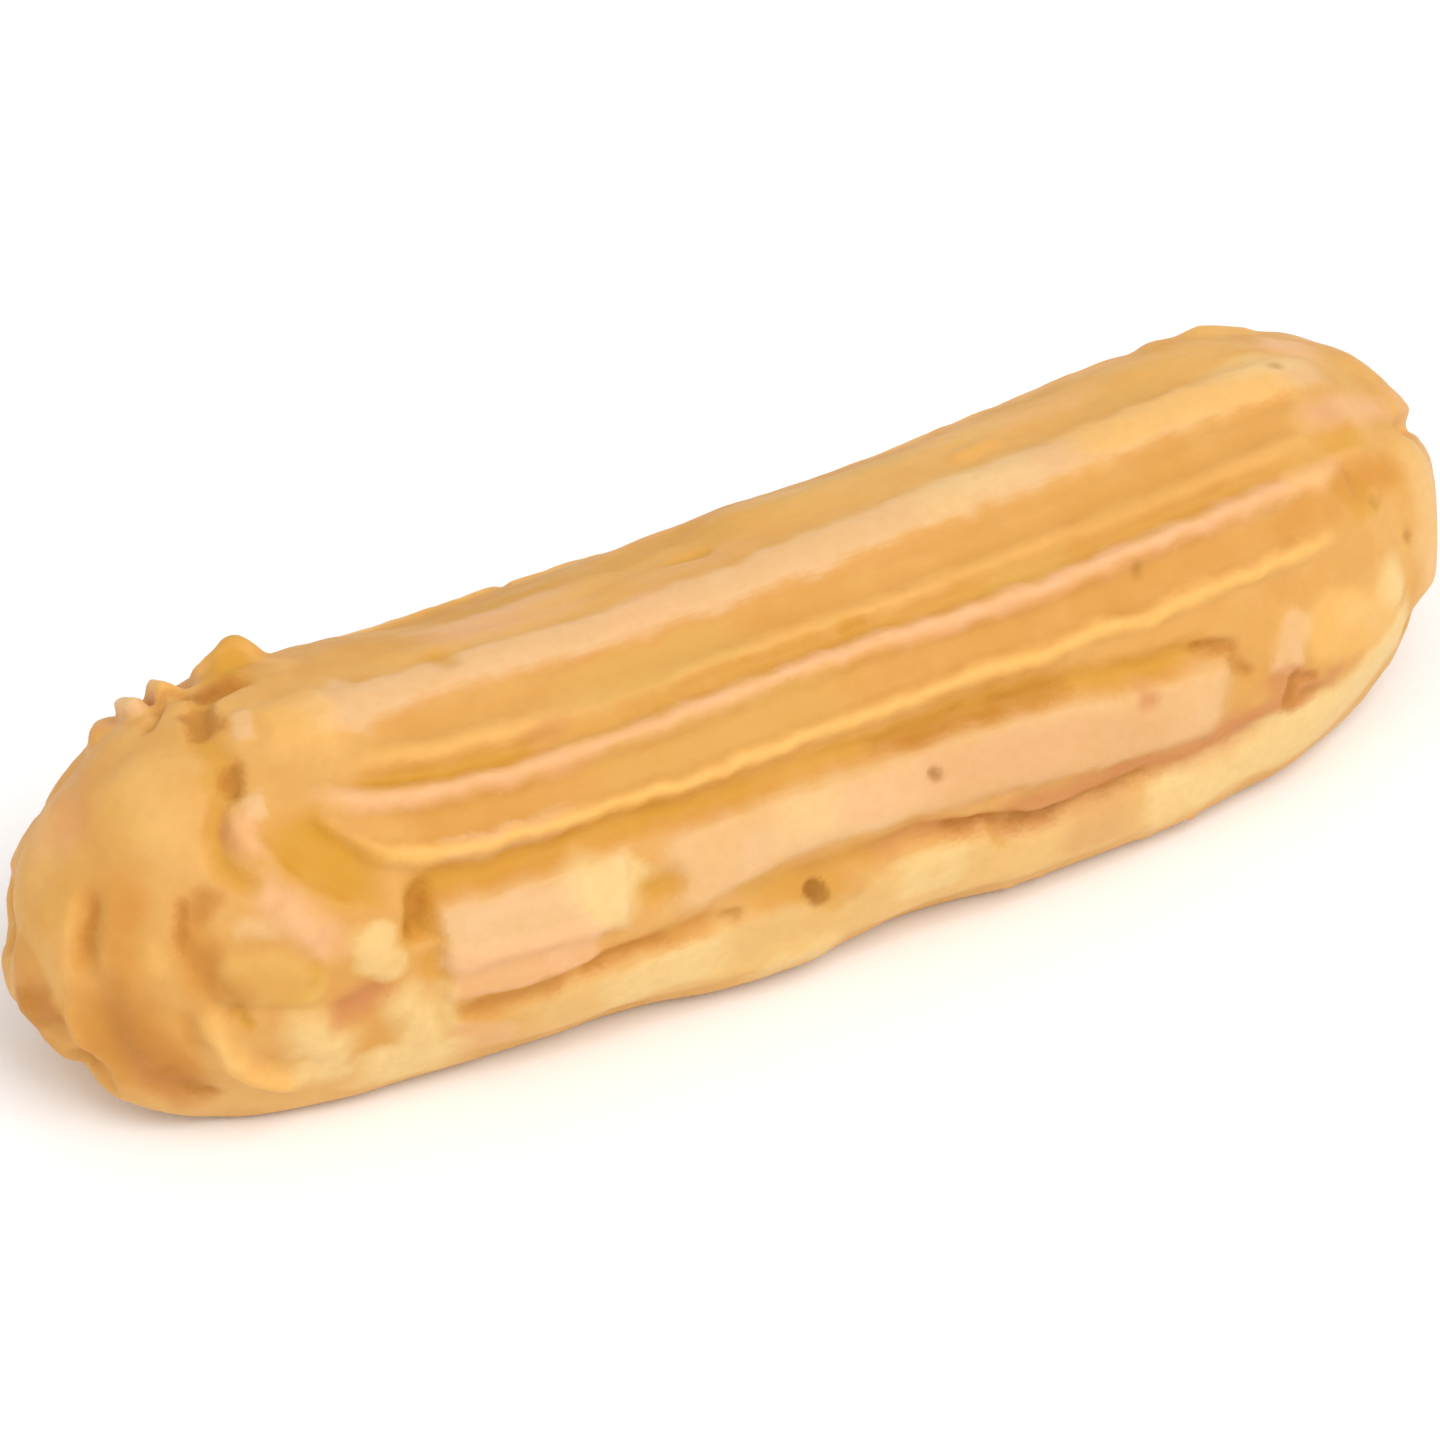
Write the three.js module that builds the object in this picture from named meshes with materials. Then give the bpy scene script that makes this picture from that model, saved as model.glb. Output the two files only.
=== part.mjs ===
// A plain golden choux eclair, lying on its flat foot. Millimetres, +Z up. The piped tail is at -X, folded
// back over the top, and the plain round nose is at +X. The side that split open in the oven faces -Y.
//
// The smooth body is a row of rings along X. Each ring has a flat foot, two soft sides and a domed top.
// All the rest is strokes: short paths on that body, along which the dough stands proud or sinks in.
// A place on the body is written [x, angle]. The angle goes round the section: -90 is the near edge of the
// foot, 0 the near side where it is widest, 90 the top, 180 the far side and 270 the far edge of the foot.
import * as THREE from 'three';

// Driving dimensions
const LENGTH = 140;
const WIDTH = 38.5;
const HEIGHT = 33;
const WAIST = 13.9; // height of the widest line above the tray
const FOOT_INSET = 5.9; // how far the foot's edge lies inside the widest line
const BOW = 4.6; // how far both ends sweep back from the middle
const TAPER = 0.05; // the nose is this much wider than the middle, and the tail this much narrower

// Round ends: how far from the tip each outline starts to close in, and how blunt it is
const TAIL = { plan: 25.5, top: 22.8, foot: 16.8, blunt: 1.83, waist: 12.7, blend: 26, shift: -2 };
const NOSE = { plan: 28.2, top: 22.8, foot: 20.5, blunt: 2.2, waist: 16.1, blend: 24, shift: 0 };
const FOOT_BLUNT = 1.9;
const NARROWEST_FOOT = 0.12; // of the half width, at the tips

// Piped ridges
const CREST_RISE = 1.15; // a sharp crest above the dough beside it
const CREST_HALF = 1.6;
const BAND_RISE = 0.9; // a broad flat band
const FACET_DEPTH = 0.45; // the hollow between two crests
const FACET_HALF = 3;
const SPLIT_DEPTH = 2.3; // the crack where the side tore open
const SPLIT_HALF = 1.5;
const FOLD_DEPTH = 2.4; // the crease where the tail was folded over
const FLUTE_DEPTH = 1.7; // the creases between the lobes of the tail
const FLUTE_HALF = 2.1;

// The two sharpest lines: the crease of the folded tail, and the split along the near side
const FOLD = [[-45, 109], [-50, 95], [-52, 84], [-51, 74], [-54, 63], [-55, 52], [-52, 40], [-48, 27]];
const SPLIT = [[-38, -9], [-24, -8], [-11, -7], [-3, -3], [8, 1], [15, -6], [31, -9], [41, -8], [49, -4]];

// Grid. It leans so that one ring lies along the fold, and one row of points along the split.
const FOLD_RING = -52;
const FOLD_REACH = 16;
const SPLIT_ROW = -6;
const SPLIT_REACH = 14;
const FOOT_FACETS = 8;
const PATH_STEPS = 14; // pieces in a stroke's path
const OWN_SHARE = 0.6; // of a point's own height, when it is averaged with the rings beside it
const FADE_ABOVE_TRAY = 2.4; // the relief dies out over this height, so that the foot stays flat

const clamp01 = (value) => Math.min(1, Math.max(0, value));
const ease = (value) => clamp01(value) ** 2 * (3 - 2 * clamp01(value));
const roundEnd = (distance, reach, blunt) => (1 - clamp01(1 - distance / reach) ** blunt) ** (1 / blunt);

// The section's sizes at one place along the length
function section(x) {
  const fromTail = x + LENGTH / 2;
  const fromNose = LENGTH / 2 - x;
  const along = x / (LENGTH / 2);
  const close = (outline, tailBlunt, noseBlunt) =>
    roundEnd(fromTail, TAIL[outline], tailBlunt) * roundEnd(fromNose, NOSE[outline], noseBlunt);
  const plan = close('plan', TAIL.blunt, NOSE.blunt);
  const halfWidth = (WIDTH / 2) * plan * (1 + TAPER * along);
  const tail = ease(1 - fromTail / TAIL.blend);
  const nose = ease(1 - fromNose / NOSE.blend);
  const waist = WAIST + (TAIL.waist - WAIST) * tail + (NOSE.waist - WAIST) * nose;
  const top = waist + (HEIGHT - waist) * close('top', TAIL.blunt, NOSE.blunt);
  const bottom = waist * (1 - close('foot', FOOT_BLUNT, FOOT_BLUNT));
  const centre = BOW * along ** 2 + TAIL.shift * tail + NOSE.shift * nose;
  const landed = Math.sqrt(Math.max(0, 1 - (bottom / waist) ** 2)); // 1 where the foot is on the tray
  const foot = Math.max((halfWidth - FOOT_INSET * plan) * landed, NARROWEST_FOOT * halfWidth);
  return { halfWidth, waist, top, bottom, centre, foot };
}

// The point of the smooth body at a place [x, angle]
function bodyPoint(x, angle) {
  const { halfWidth, waist, top, bottom, centre, foot } = section(x);
  if (angle >= 0 && angle <= 180) {
    const turn = THREE.MathUtils.degToRad(angle);
    return new THREE.Vector3(x, centre - halfWidth * Math.cos(turn), waist + (top - waist) * Math.sin(turn));
  }
  const side = angle < 0 ? -1 : 1;
  const down = THREE.MathUtils.degToRad(angle < 0 ? -angle : angle - 180);
  const y = centre + side * (foot + (halfWidth - foot) * Math.cos(down));
  return new THREE.Vector3(x, y, waist - (waist - bottom) * Math.sin(down));
}

// How the height of a stroke falls off, from 1 on its path to 0 at its half width
const rounded = (away) => (1 - away * away) ** 2;
const flatTopped = (away) => ease((1 - away) * 2.2);
const creased = (away) => (1 - away) ** 1.4;

// A smooth path through a few places, as many close places
function smoothPath(places) {
  const curve = new THREE.SplineCurve(places.map(([x, angle]) => new THREE.Vector2(x, angle)));
  return curve.getPoints(PATH_STEPS + Math.ceil(curve.getLength() / 6));
}

// One stroke: a path on the body that rises (or sinks, when negative) and fades at its two ends
function stroke(places, halfWidth, rise, falloff = rounded) {
  const path = places.length > 1 ? smoothPath(places) : [new THREE.Vector2(...places[0])];
  return { points: path.map((place) => bodyPoint(place.x, place.y)), halfWidth, rise, falloff };
}

// The ridges that the star nozzle left on the near side and the top, from the top down
function pipedRidges() {
  return [
    stroke([[-41, 85], [-20, 86], [10, 87], [58, 86]], 3.4, BAND_RISE, flatTopped),
    stroke([[-43, 73], [-10, 72], [20, 71], [54, 72]], FACET_HALF, -FACET_DEPTH),
    stroke([[-42, 67], [-24, 62], [5, 62], [28, 65], [50, 66]], CREST_HALF, 0.5 * CREST_RISE),
    stroke([[-44, 60], [-10, 59], [30, 60]], 1.4, -0.8 * FACET_DEPTH),
    stroke([[-46, 66], [-44, 57], [-36, 52], [-11, 54], [20, 54], [56, 52]], CREST_HALF, CREST_RISE),
    stroke([[-41, 45], [-10, 45], [25, 44], [52, 44]], FACET_HALF, -FACET_DEPTH),
    stroke([[-47, 57], [-44, 44], [-37, 37], [-8, 36], [31, 34], [53, 36]], CREST_HALF, CREST_RISE),
    stroke([[-43, 33], [-26, 32], [-9, 30], [12, 30], [32, 24], [39, 17]], 2.4, -1.5),
    stroke([[-37, 13], [-18, 13], [0, 15], [20, 13], [37, 11]], 4.1, BAND_RISE + 0.3, flatTopped),
    stroke([[42, 19], [46, 20], [45, 5]], 3.2, 0.7),
    stroke([[-36, -26], [0, -27], [42, -25]], 4.5, 0.5),
  ];
}

// The far side carries the same ridges, softer over the shoulder and sharper lower down
function farRidges() {
  const crests = [{ angle: 110, rise: 0.25 }, { angle: 128, rise: 0.2 }, { angle: 149, rise: 0.7 }];
  const strokes = crests.map(({ angle, rise }, row) =>
    stroke([[-42, angle - 3], [0, angle + 2], [52 - row, angle - 4]], CREST_HALF + 0.5, rise));
  const grooves = [101, 119, 138].map((angle) => stroke([[-40, angle], [54, angle]], 3, -FACET_DEPTH));
  const band = stroke([[-38, 169], [5, 167], [44, 170]], 4, BAND_RISE, flatTopped);
  const lowGroove = stroke([[-42, 156], [8, 158], [46, 155]], 2, -1);
  const split = stroke([[-33, 187], [-8, 184], [20, 189], [38, 185]], SPLIT_HALF, -0.6 * SPLIT_DEPTH, creased);
  return [...strokes, ...grooves, band, lowGroove, split];
}

// The crack along the near side, with the hole and the forked tear that opened on it
function bakingSplit() {
  return [
    stroke([[12, -4], [38, -9]], 1.9, -0.6),
    stroke([[-4, -4]], 1.7, -1.6),
    stroke([[-12, -7]], 1.2, -0.8),
    stroke([[45, 8], [47, 0], [45, -14]], 1.4, -0.9, creased),
    stroke([[38, 20], [40, 13]], 1.6, -1.2),
    stroke([[-19, 19], [-18, 9]], 1.9, -0.7),
    stroke([[-40, 30], [-41, 20], [-39, 8], [-39, -30]], 1.6, -1.1),
  ];
}

// The piped tail, pulled up and folded back over the top: its lip and the lumps round its crease
function foldedTail() {
  return [
    stroke([[-57, 108], [-58, 90], [-58, 72], [-60, 55]], 6.5, 1.1),
    stroke([[-54, 104], [-52, 114], [-49, 114]], 1.4, -1.2),
    stroke([[-46, 121], [-41, 122]], 4.3, 2.1),
    stroke([[-51, 130]], 2.8, 1.4),
    stroke([[-54, 134]], 2.5, 1.1),
    stroke([[-46, 112], [-41, 112]], 1.6, -1.4),
    stroke([[-49, 96], [-49, 84]], 2.6, 1.1),
    stroke([[-45, 98], [-44, 80], [-47, 62]], 4.4, 0.9),
    stroke([[-50, 70], [-52, 57], [-50, 44]], 2.6, 1.5),
    stroke([[-48, 50], [-46, 40], [-42, 33]], 3.4, -1.6),
    stroke([[-54, 42], [-50, 29], [-45, 21]], 2.8, 1.6),
    stroke([[-46, 17], [-42, 15]], 3.2, 1),
    stroke([[-57, 42], [-56, 26], [-56, 8]], 3, -1.6),
    stroke([[-49, 3], [-44, 7]], 2.2, -1),
    stroke([[-52, -3], [-44, -12]], 4.2, 1.1),
    stroke([[-59, 8], [-58, -4], [-55, -24], [-49, -36]], 2.2, 1.4),
    stroke([[-55, 0], [-54, -14], [-49, -26]], 1.8, -1.2),
  ];
}

// The lobes that the star nozzle left round the end of the tail, with an upright crease between each two
function tailFlutes() {
  const creases = [
    [[-60, 30], [-61, 8], [-60, -30], [-58, -60]],
    [[-64, 64], [-66, 42], [-67, 14], [-65, -55]],
    [[-68, 100], [-69.4, 60], [-69.6, 10], [-68, -60]],
    [[-66, 122], [-68, 140], [-69, 170], [-67, 225]],
    [[-60, 130], [-63, 150], [-64, 175], [-63, 220]],
    [[-54, 148], [-56, 165], [-57, 185], [-56, 215]],
  ];
  const lobes = [
    [[-61, 48], [-63.5, 25], [-62.5, -40]],
    [[-67, 65], [-68.4, 25], [-67.2, -50]],
    [[-68, 125], [-69.2, 150], [-68.5, 215]],
    [[-64, 132], [-66, 158], [-66, 215]],
    [[-57, 145], [-60, 165], [-60, 215]],
  ];
  return [
    ...creases.map((path) => stroke(path, FLUTE_HALF, -FLUTE_DEPTH)),
    ...lobes.map((path) => stroke(path, 3.2, 0.6)),
  ];
}

// The nose ends in one rounded lobe that stands clear of the ridges
function noseLobe() {
  return [
    stroke([[66, 78], [64, 56], [60, 40], [59, 22], [61, -6], [64, -30]], 2, -1.3),
    stroke([[67, 62], [67.5, 40], [67, 10]], 4, 0.8),
    stroke([[54, 43], [58, 42]], 3, -0.8),
    stroke([[54, 18], [57, 6]], 4, 0.6),
    stroke([[66, 118], [62, 140], [60, 160], [63, 190]], 2, -0.8),
    stroke([[57, -45]], 9, -1.1),
  ];
}

// Where the soft dough spread outwards over the tray. These move level, so that the foot stays flat.
const FOOT_SPREAD = [
  stroke([[-12, -66], [-4, -66]], 9, 1.5),
  stroke([[14, -66], [30, -66]], 10, 1.3),
  stroke([[-36, 250], [-24, 250]], 10, 1.2),
  stroke([[6, 250], [16, 250]], 9, 0.9),
  stroke([[36, 250]], 10, 1.1),
];

const RELIEF = [
  ...pipedRidges(),
  ...farRidges(),
  ...bakingSplit(),
  ...foldedTail(),
  ...tailFlutes(),
  ...noseLobe(),
];
const SHARP_LINES = [
  stroke(FOLD, 2, -FOLD_DEPTH, creased),
  stroke(SPLIT, SPLIT_HALF, -SPLIT_DEPTH, creased),
];

// How far one stroke moves the surface at a point
function strokeHeight({ points, halfWidth, rise, falloff }, point) {
  const segment = new THREE.Line3();
  const nearest = new THREE.Vector3();
  let away = points[0].distanceTo(point);
  let along = 0.5;
  for (let i = 1; i < points.length; i += 1) {
    segment.set(points[i - 1], points[i]);
    const part = segment.closestPointToPointParameter(point, true);
    const distance = segment.at(part, nearest).distanceTo(point);
    if (distance < away) {
      away = distance;
      along = (i - 1 + part) / (points.length - 1);
    }
  }
  if (away >= halfWidth) return 0;
  const fade = ease(Math.min(along, 1 - along) * 7 + 0.25);
  return rise * falloff(away / halfWidth) * fade;
}

// Slow unevenness of hand-piped dough
function unevenness({ x, y, z }) {
  const long = 0.22 * Math.sin(x / 11 + y / 7);
  const middling = 0.18 * Math.sin(x / 6.3 - z / 5 + 1.7);
  const short = 0.12 * Math.sin(y / 3.9 + x / 17);
  return long + middling + short;
}

// The value of a path of [position, value] pairs at one position, and 'level' beyond its ends
function follow(pairs, position, level) {
  const sorted = [...pairs].sort((one, other) => one[0] - other[0]);
  const next = sorted.findIndex(([place]) => place > position);
  if (next < 1) return level;
  const [from, to] = [sorted[next - 1], sorted[next]];
  return from[1] + ((to[1] - from[1]) * (position - from[0])) / (to[0] - from[0]);
}

// Where a grid point [x, angle] goes once the grid leans along the fold and the split
const FOLD_PAIRS = [[8, FOLD_RING], ...smoothPath(FOLD).map(({ x, y }) => [y, x]), [124, FOLD_RING]];
const SPLIT_PAIRS = [[-50, SPLIT_ROW], ...smoothPath(SPLIT).map(({ x, y }) => [x, y]), [60, SPLIT_ROW]];
function leaning(x, angle) {
  const nearRing = ease(1 - Math.abs(x - FOLD_RING) / FOLD_REACH);
  const nearRow = ease(1 - Math.abs(angle - SPLIT_ROW) / SPLIT_REACH);
  return [
    x + (follow(FOLD_PAIRS, angle, FOLD_RING) - FOLD_RING) * nearRing,
    angle + (follow(SPLIT_PAIRS, x, SPLIT_ROW) - SPLIT_ROW) * nearRow,
  ];
}

// Even steps from one value to another, without the last
const spread = (from, to, count) => Array.from({ length: count }, (_, i) => from + ((to - from) * i) / count);

// Places of the rings: closest at the fold, close over both ends, and closing in on the two tips
function ringPlaces() {
  const outOfTip = (part) => 0.5 * part + 0.5 * (1 - Math.cos((part * Math.PI) / 2) ** 1.3);
  const fromTip = (tip, inner, count) =>
    spread(0, 1, count).slice(1).map((part) => tip + (inner - tip) * outOfTip(part));
  const tail = fromTip(-LENGTH / 2, -59, 10);
  const fold = [...spread(-59, FOLD_RING, 8), ...spread(FOLD_RING, -40, 12)];
  const nose = fromTip(LENGTH / 2, 44, 16).reverse();
  return [...tail, ...fold, ...spread(-40, 44, 20), 44, ...nose];
}

// Places round a ring: close together over the near side and the top, wider apart behind and below
function anglePlaces() {
  const near = [...spread(-90, -20, 6), ...spread(-20, SPLIT_ROW, 5), ...spread(SPLIT_ROW, 97, 41)];
  return [...near, ...spread(97, 196, 25), ...spread(196, 270, 6), 270];
}

// The smooth body as a closed grid: rings, a flat foot and one point at each tip
function bodyGrid() {
  const angles = anglePlaces();
  const places = ringPlaces();
  const around = angles.length + FOOT_FACETS - 1;
  const positions = [];
  const onFoot = [];
  for (const x of places) {
    for (const angle of angles) positions.push(bodyPoint(...leaning(x, angle)));
    const far = bodyPoint(x, 270);
    const near = bodyPoint(x, -90);
    for (let i = 1; i < FOOT_FACETS; i += 1) positions.push(far.clone().lerp(near, i / FOOT_FACETS));
  }
  for (let i = 0; i < positions.length; i += 1) {
    const place = i % around;
    onFoot.push(place >= angles.length - 1 || place === 0);
  }
  const tailTip = positions.push(bodyPoint(-LENGTH / 2, 0)) - 1;
  const noseTip = positions.push(bodyPoint(LENGTH / 2, 0)) - 1;
  onFoot.push(false, false);
  const faces = [];
  const last = (places.length - 1) * around;
  for (let i = 0; i < around; i += 1) {
    const next = (i + 1) % around;
    for (let ring = 0; ring < last; ring += around) {
      faces.push(ring + i, ring + around + i, ring + next);
      faces.push(ring + next, ring + around + i, ring + around + next);
    }
    faces.push(tailTip, i, next);
    faces.push(noseTip, last + next, last + i);
  }
  return { positions, onFoot, faces, around };
}

// Heights averaged with those of the two rings beside, so that a stroke that crosses the rings has no steps
function smoothed(heights, around, tips = 2) {
  return heights.map((height, i) => {
    if (i < around || i + around >= heights.length - tips) return height;
    return OWN_SHARE * height + ((1 - OWN_SHARE) / 2) * (heights[i - around] + heights[i + around]);
  });
}

// Piece: the baked choux shell
function chouxShell() {
  const { positions, onFoot, faces, around } = bodyGrid();
  const geometry = new THREE.BufferGeometry().setFromPoints(positions);
  geometry.setIndex(faces);
  geometry.computeVertexNormals();
  const normals = geometry.getAttribute('normal');
  const total = (strokes, point) => strokes.reduce((sum, item) => sum + strokeHeight(item, point), 0);
  const relief = smoothed(positions.map((point) => total(RELIEF, point) + unevenness(point)), around);
  positions.forEach((point, i) => {
    const normal = new THREE.Vector3().fromBufferAttribute(normals, i);
    const level = new THREE.Vector3(normal.x, normal.y, 0);
    const aboveTray = onFoot[i] ? 0 : ease(point.z / FADE_ABOVE_TRAY);
    const height = (relief[i] + total(SHARP_LINES, point)) * aboveTray;
    const outwards = total(FOOT_SPREAD, point);
    const moved = point.clone().addScaledVector(normal, height).addScaledVector(level, outwards);
    geometry.getAttribute('position').setXYZ(i, moved.x, moved.y, Math.max(0, moved.z));
  });
  geometry.computeBoundingBox();
  const middle = geometry.boundingBox.getCenter(new THREE.Vector3());
  geometry.translate(-middle.x, -middle.y, -geometry.boundingBox.min.z);
  geometry.computeVertexNormals();
  const crust = new THREE.MeshStandardMaterial({ color: 0xeeb46a, roughness: 0.62, metalness: 0 });
  const mesh = new THREE.Mesh(geometry, crust);
  mesh.name = 'choux_shell';
  return mesh;
}

const eclair = new THREE.Group();
eclair.add(chouxShell());

export default eclair;
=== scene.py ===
# %% [markdown]
# # A plain golden eclair
# An eclair starts as a rope of soft choux dough, piped through a star nozzle onto a tray. In the oven it
# puffs up into a hollow finger: the nozzle's teeth leave ridges along it, the side splits where steam gets
# out, and the tail that the baker folded back over the top bakes into a lump. This one carries no icing.
#
# The imported model is loaded first. It is the fixed frame: sizes, the flat foot and the place of everything
# come from it.
# %% Load the imported model
import math

import bpy
import numpy as np
from mathutils import Matrix, Vector, noise


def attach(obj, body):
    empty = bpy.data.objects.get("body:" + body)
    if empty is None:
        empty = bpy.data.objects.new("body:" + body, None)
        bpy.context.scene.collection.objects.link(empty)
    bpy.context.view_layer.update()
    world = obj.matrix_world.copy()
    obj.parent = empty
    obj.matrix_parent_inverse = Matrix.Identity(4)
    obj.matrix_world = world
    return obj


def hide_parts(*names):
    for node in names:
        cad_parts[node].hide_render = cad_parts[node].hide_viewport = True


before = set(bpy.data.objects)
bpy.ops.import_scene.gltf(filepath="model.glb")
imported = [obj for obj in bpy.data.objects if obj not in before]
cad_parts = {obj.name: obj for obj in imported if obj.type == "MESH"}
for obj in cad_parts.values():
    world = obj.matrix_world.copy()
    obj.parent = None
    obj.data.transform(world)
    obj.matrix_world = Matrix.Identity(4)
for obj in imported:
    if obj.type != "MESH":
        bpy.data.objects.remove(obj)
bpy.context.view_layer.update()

# %% [markdown]
# ## The smooth body
# Under its ridges the eclair is a simple form: seen along its length, each section has a flat foot, two
# soft sides and a domed top. It could be a stretched cylinder with round ends, but a real one is fatter at
# the nose, bows sideways and narrows towards the tray. So its section is written once, as a few sizes that
# change along the length, and all that follows is measured on it.
#
# A place on the body is written (x, angle). x is in millimetres, from the tail at -70 to the nose at 70.
# The angle goes round the section: -90 is the near edge of the foot, 0 the near side, 90 the top, 180 the
# far side and 270 the far edge of the foot.
# %% The section of the body, in millimetres
MM = 0.001
LENGTH = 140
WIDTH = 38.5
HEIGHT = 33
WAIST = 13.9
FOOT_INSET = 5.9
BOW = 4.6
TAPER = 0.05
TAIL = {"plan": 25.5, "top": 22.8, "foot": 16.8, "blunt": 1.83, "waist": 12.7, "blend": 26}
NOSE = {"plan": 28.2, "top": 22.8, "foot": 20.5, "blunt": 2.2, "waist": 16.1, "blend": 24}
TAIL_SHIFT = -2
FOOT_BLUNT = 1.9
NARROWEST_FOOT = 0.12


def ease(value):
    """A soft step from 0 to 1."""
    clipped = np.clip(value, 0, 1)
    return clipped**2 * (3 - 2 * clipped)


def round_end(distance, reach, blunt):
    """How far an outline has opened at a distance from its tip, from 0 to 1."""
    return (1 - np.clip(1 - distance / reach, 0, 1) ** blunt) ** (1 / blunt)


def opened(from_tail, from_nose, line, tail_blunt=TAIL["blunt"], nose_blunt=NOSE["blunt"]):
    """How far one of the body's outlines has opened between its two tips, from 0 to 1."""
    return round_end(from_tail, TAIL[line], tail_blunt) * round_end(from_nose, NOSE[line], nose_blunt)


def section(x):
    """Half width, waist height, top, bottom, sideways centre and half foot of the section at x."""
    from_tail = x + LENGTH / 2
    from_nose = LENGTH / 2 - x
    along = x / (LENGTH / 2)
    plan = opened(from_tail, from_nose, "plan")
    crown = opened(from_tail, from_nose, "top")
    ground = opened(from_tail, from_nose, "foot", FOOT_BLUNT, FOOT_BLUNT)
    half_width = WIDTH / 2 * plan * (1 + TAPER * along)
    tail = ease(1 - from_tail / TAIL["blend"])
    nose = ease(1 - from_nose / NOSE["blend"])
    waist = WAIST + (TAIL["waist"] - WAIST) * tail + (NOSE["waist"] - WAIST) * nose
    top = waist + (HEIGHT - waist) * crown
    bottom = waist * (1 - ground)
    centre = BOW * along**2 + TAIL_SHIFT * tail
    landed = np.sqrt(np.maximum(0, 1 - (bottom / waist) ** 2))
    foot = np.maximum((half_width - FOOT_INSET * plan) * landed, NARROWEST_FOOT * half_width)
    return half_width, waist, top, bottom, centre, foot


def body_point(x, angle):
    """The points of the smooth body at places (x, angle), in millimetres."""
    x, angle = np.broadcast_arrays(np.asarray(x, float), np.asarray(angle, float))
    half_width, waist, top, bottom, centre, foot = section(x)
    turn = np.radians(angle)
    dome = np.stack([x, centre - half_width * np.cos(turn), waist + (top - waist) * np.sin(turn)], axis=-1)
    side = np.where(angle < 0, -1, 1)
    down = np.radians(np.where(angle < 0, -angle, angle - 180))
    level = centre + side * (foot + (half_width - foot) * np.cos(down))
    skirt = np.stack([x, level, waist - (waist - bottom) * np.sin(down)], axis=-1)
    return np.where(((angle >= 0) & (angle <= 180))[..., None], dome, skirt)


middle_size = section(np.array(0.0))
print("at the middle: width", round(2 * float(middle_size[0]), 1), "height", round(float(middle_size[2]), 1))

# %% [markdown]
# ## Piping the rope
# The baker squeezes a rope of dough along the tray. The same can be done here: a filled circle is the
# nozzle's mouth, and it is extruded along X again and again, closer together at the two round ends. Then
# the rope slumps onto the tray: each ring of points is laid on the section above. A lattice or a sculpted
# sphere would also give a long lump, but neither would hold a true flat foot.
# %% Extrude the rope, then let it slump onto the tray
ROUND_POINTS = 132
FOOT_POINTS = 24
END_REACH = 26
TIP_RINGS = 26
MIDDLE_RINGS = 50
FIRST_RING = 0.06
CROWDING = 1.2


def ring_places():
    """Where the rings stand along X: evenly in the middle, ever closer towards both tips."""
    towards_tip = 1 - np.cos(np.linspace(FIRST_RING, 1, TIP_RINGS) * np.pi / 2) ** CROWDING
    tail = -LENGTH / 2 + END_REACH * towards_tip
    return np.concatenate([tail, np.linspace(tail[-1], -tail[-1], MIDDLE_RINGS)[1:-1], -tail[::-1]])


def leave_selection():
    """Nothing is selected, so that an operator acts only on what is added next."""
    bpy.ops.object.select_all(action="DESELECT")


places = ring_places()
leave_selection()
bpy.ops.mesh.primitive_circle_add(
    vertices=ROUND_POINTS, radius=WIDTH / 2 * MM, fill_type="NGON",
    location=(places[0] * MM, 0, WIDTH / 2 * MM), rotation=(0, math.radians(90), 0))
shell = bpy.context.object
shell.name = "baked_choux"
bpy.ops.object.transform_apply(location=True, rotation=True, scale=True)
bpy.ops.object.mode_set(mode="EDIT")
bpy.ops.mesh.select_all(action="SELECT")
for step in np.diff(places):
    bpy.ops.mesh.extrude_region_move(TRANSFORM_OT_translate={"value": (step * MM, 0, 0)})
bpy.ops.mesh.select_all(action="SELECT")
bpy.ops.mesh.normals_make_consistent(inside=False)
bpy.ops.object.mode_set(mode="OBJECT")


def mesh_points(piece):
    """The points of a piece's mesh, in millimetres."""
    flat = np.empty(len(piece.data.vertices) * 3)
    piece.data.vertices.foreach_get("co", flat)
    return flat.reshape(-1, 3) / MM


def set_mesh_points(piece, points):
    """Moves the points of a piece's mesh to these places, in millimetres."""
    piece.data.vertices.foreach_set("co", (points * MM).ravel())
    piece.data.update()


def slump(points):
    """Lays each point of the round rope on the section of the body at the same x."""
    turn = np.degrees(np.arctan2(points[:, 2] - WIDTH / 2, -points[:, 1]))
    share = ((turn + 90) % 360) / 360
    slot = np.rint(share * ROUND_POINTS) % ROUND_POINTS
    skin_slots = ROUND_POINTS - FOOT_POINTS
    angle = -90 + 360 * np.minimum(slot / skin_slots, 1)
    across = np.clip((slot - skin_slots) / FOOT_POINTS, 0, 1)[:, None]
    under = body_point(points[:, 0], 270) * (1 - across) + body_point(points[:, 0], -90) * across
    return np.where((slot > skin_slots)[:, None], under, body_point(points[:, 0], angle))


set_mesh_points(shell, slump(mesh_points(shell)))
print("rope:", len(places), "rings,", len(shell.data.vertices), "points")

# %% [markdown]
# ## An even skin
# The ridges and cracks run in every direction, so the rope's long faces would fold under them. A voxel
# remesh gives a skin of small, even squares, as before sculpting, and a light smoothing takes away the
# steps that the voxels leave. Subdividing the rope would be simpler, but would put most of the points in
# the tips.
# %% Remesh and smooth
VOXEL = 0.35


def remesh(smooth_steps):
    """Gives the shell a skin of small, even squares, then smooths it."""
    shell.data.remesh_voxel_size = VOXEL * MM
    bpy.ops.object.voxel_remesh()
    settle = shell.modifiers.new("settle", "SMOOTH")
    settle.factor = 0.5
    settle.iterations = smooth_steps
    bpy.ops.object.modifier_apply(modifier=settle.name)


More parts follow.
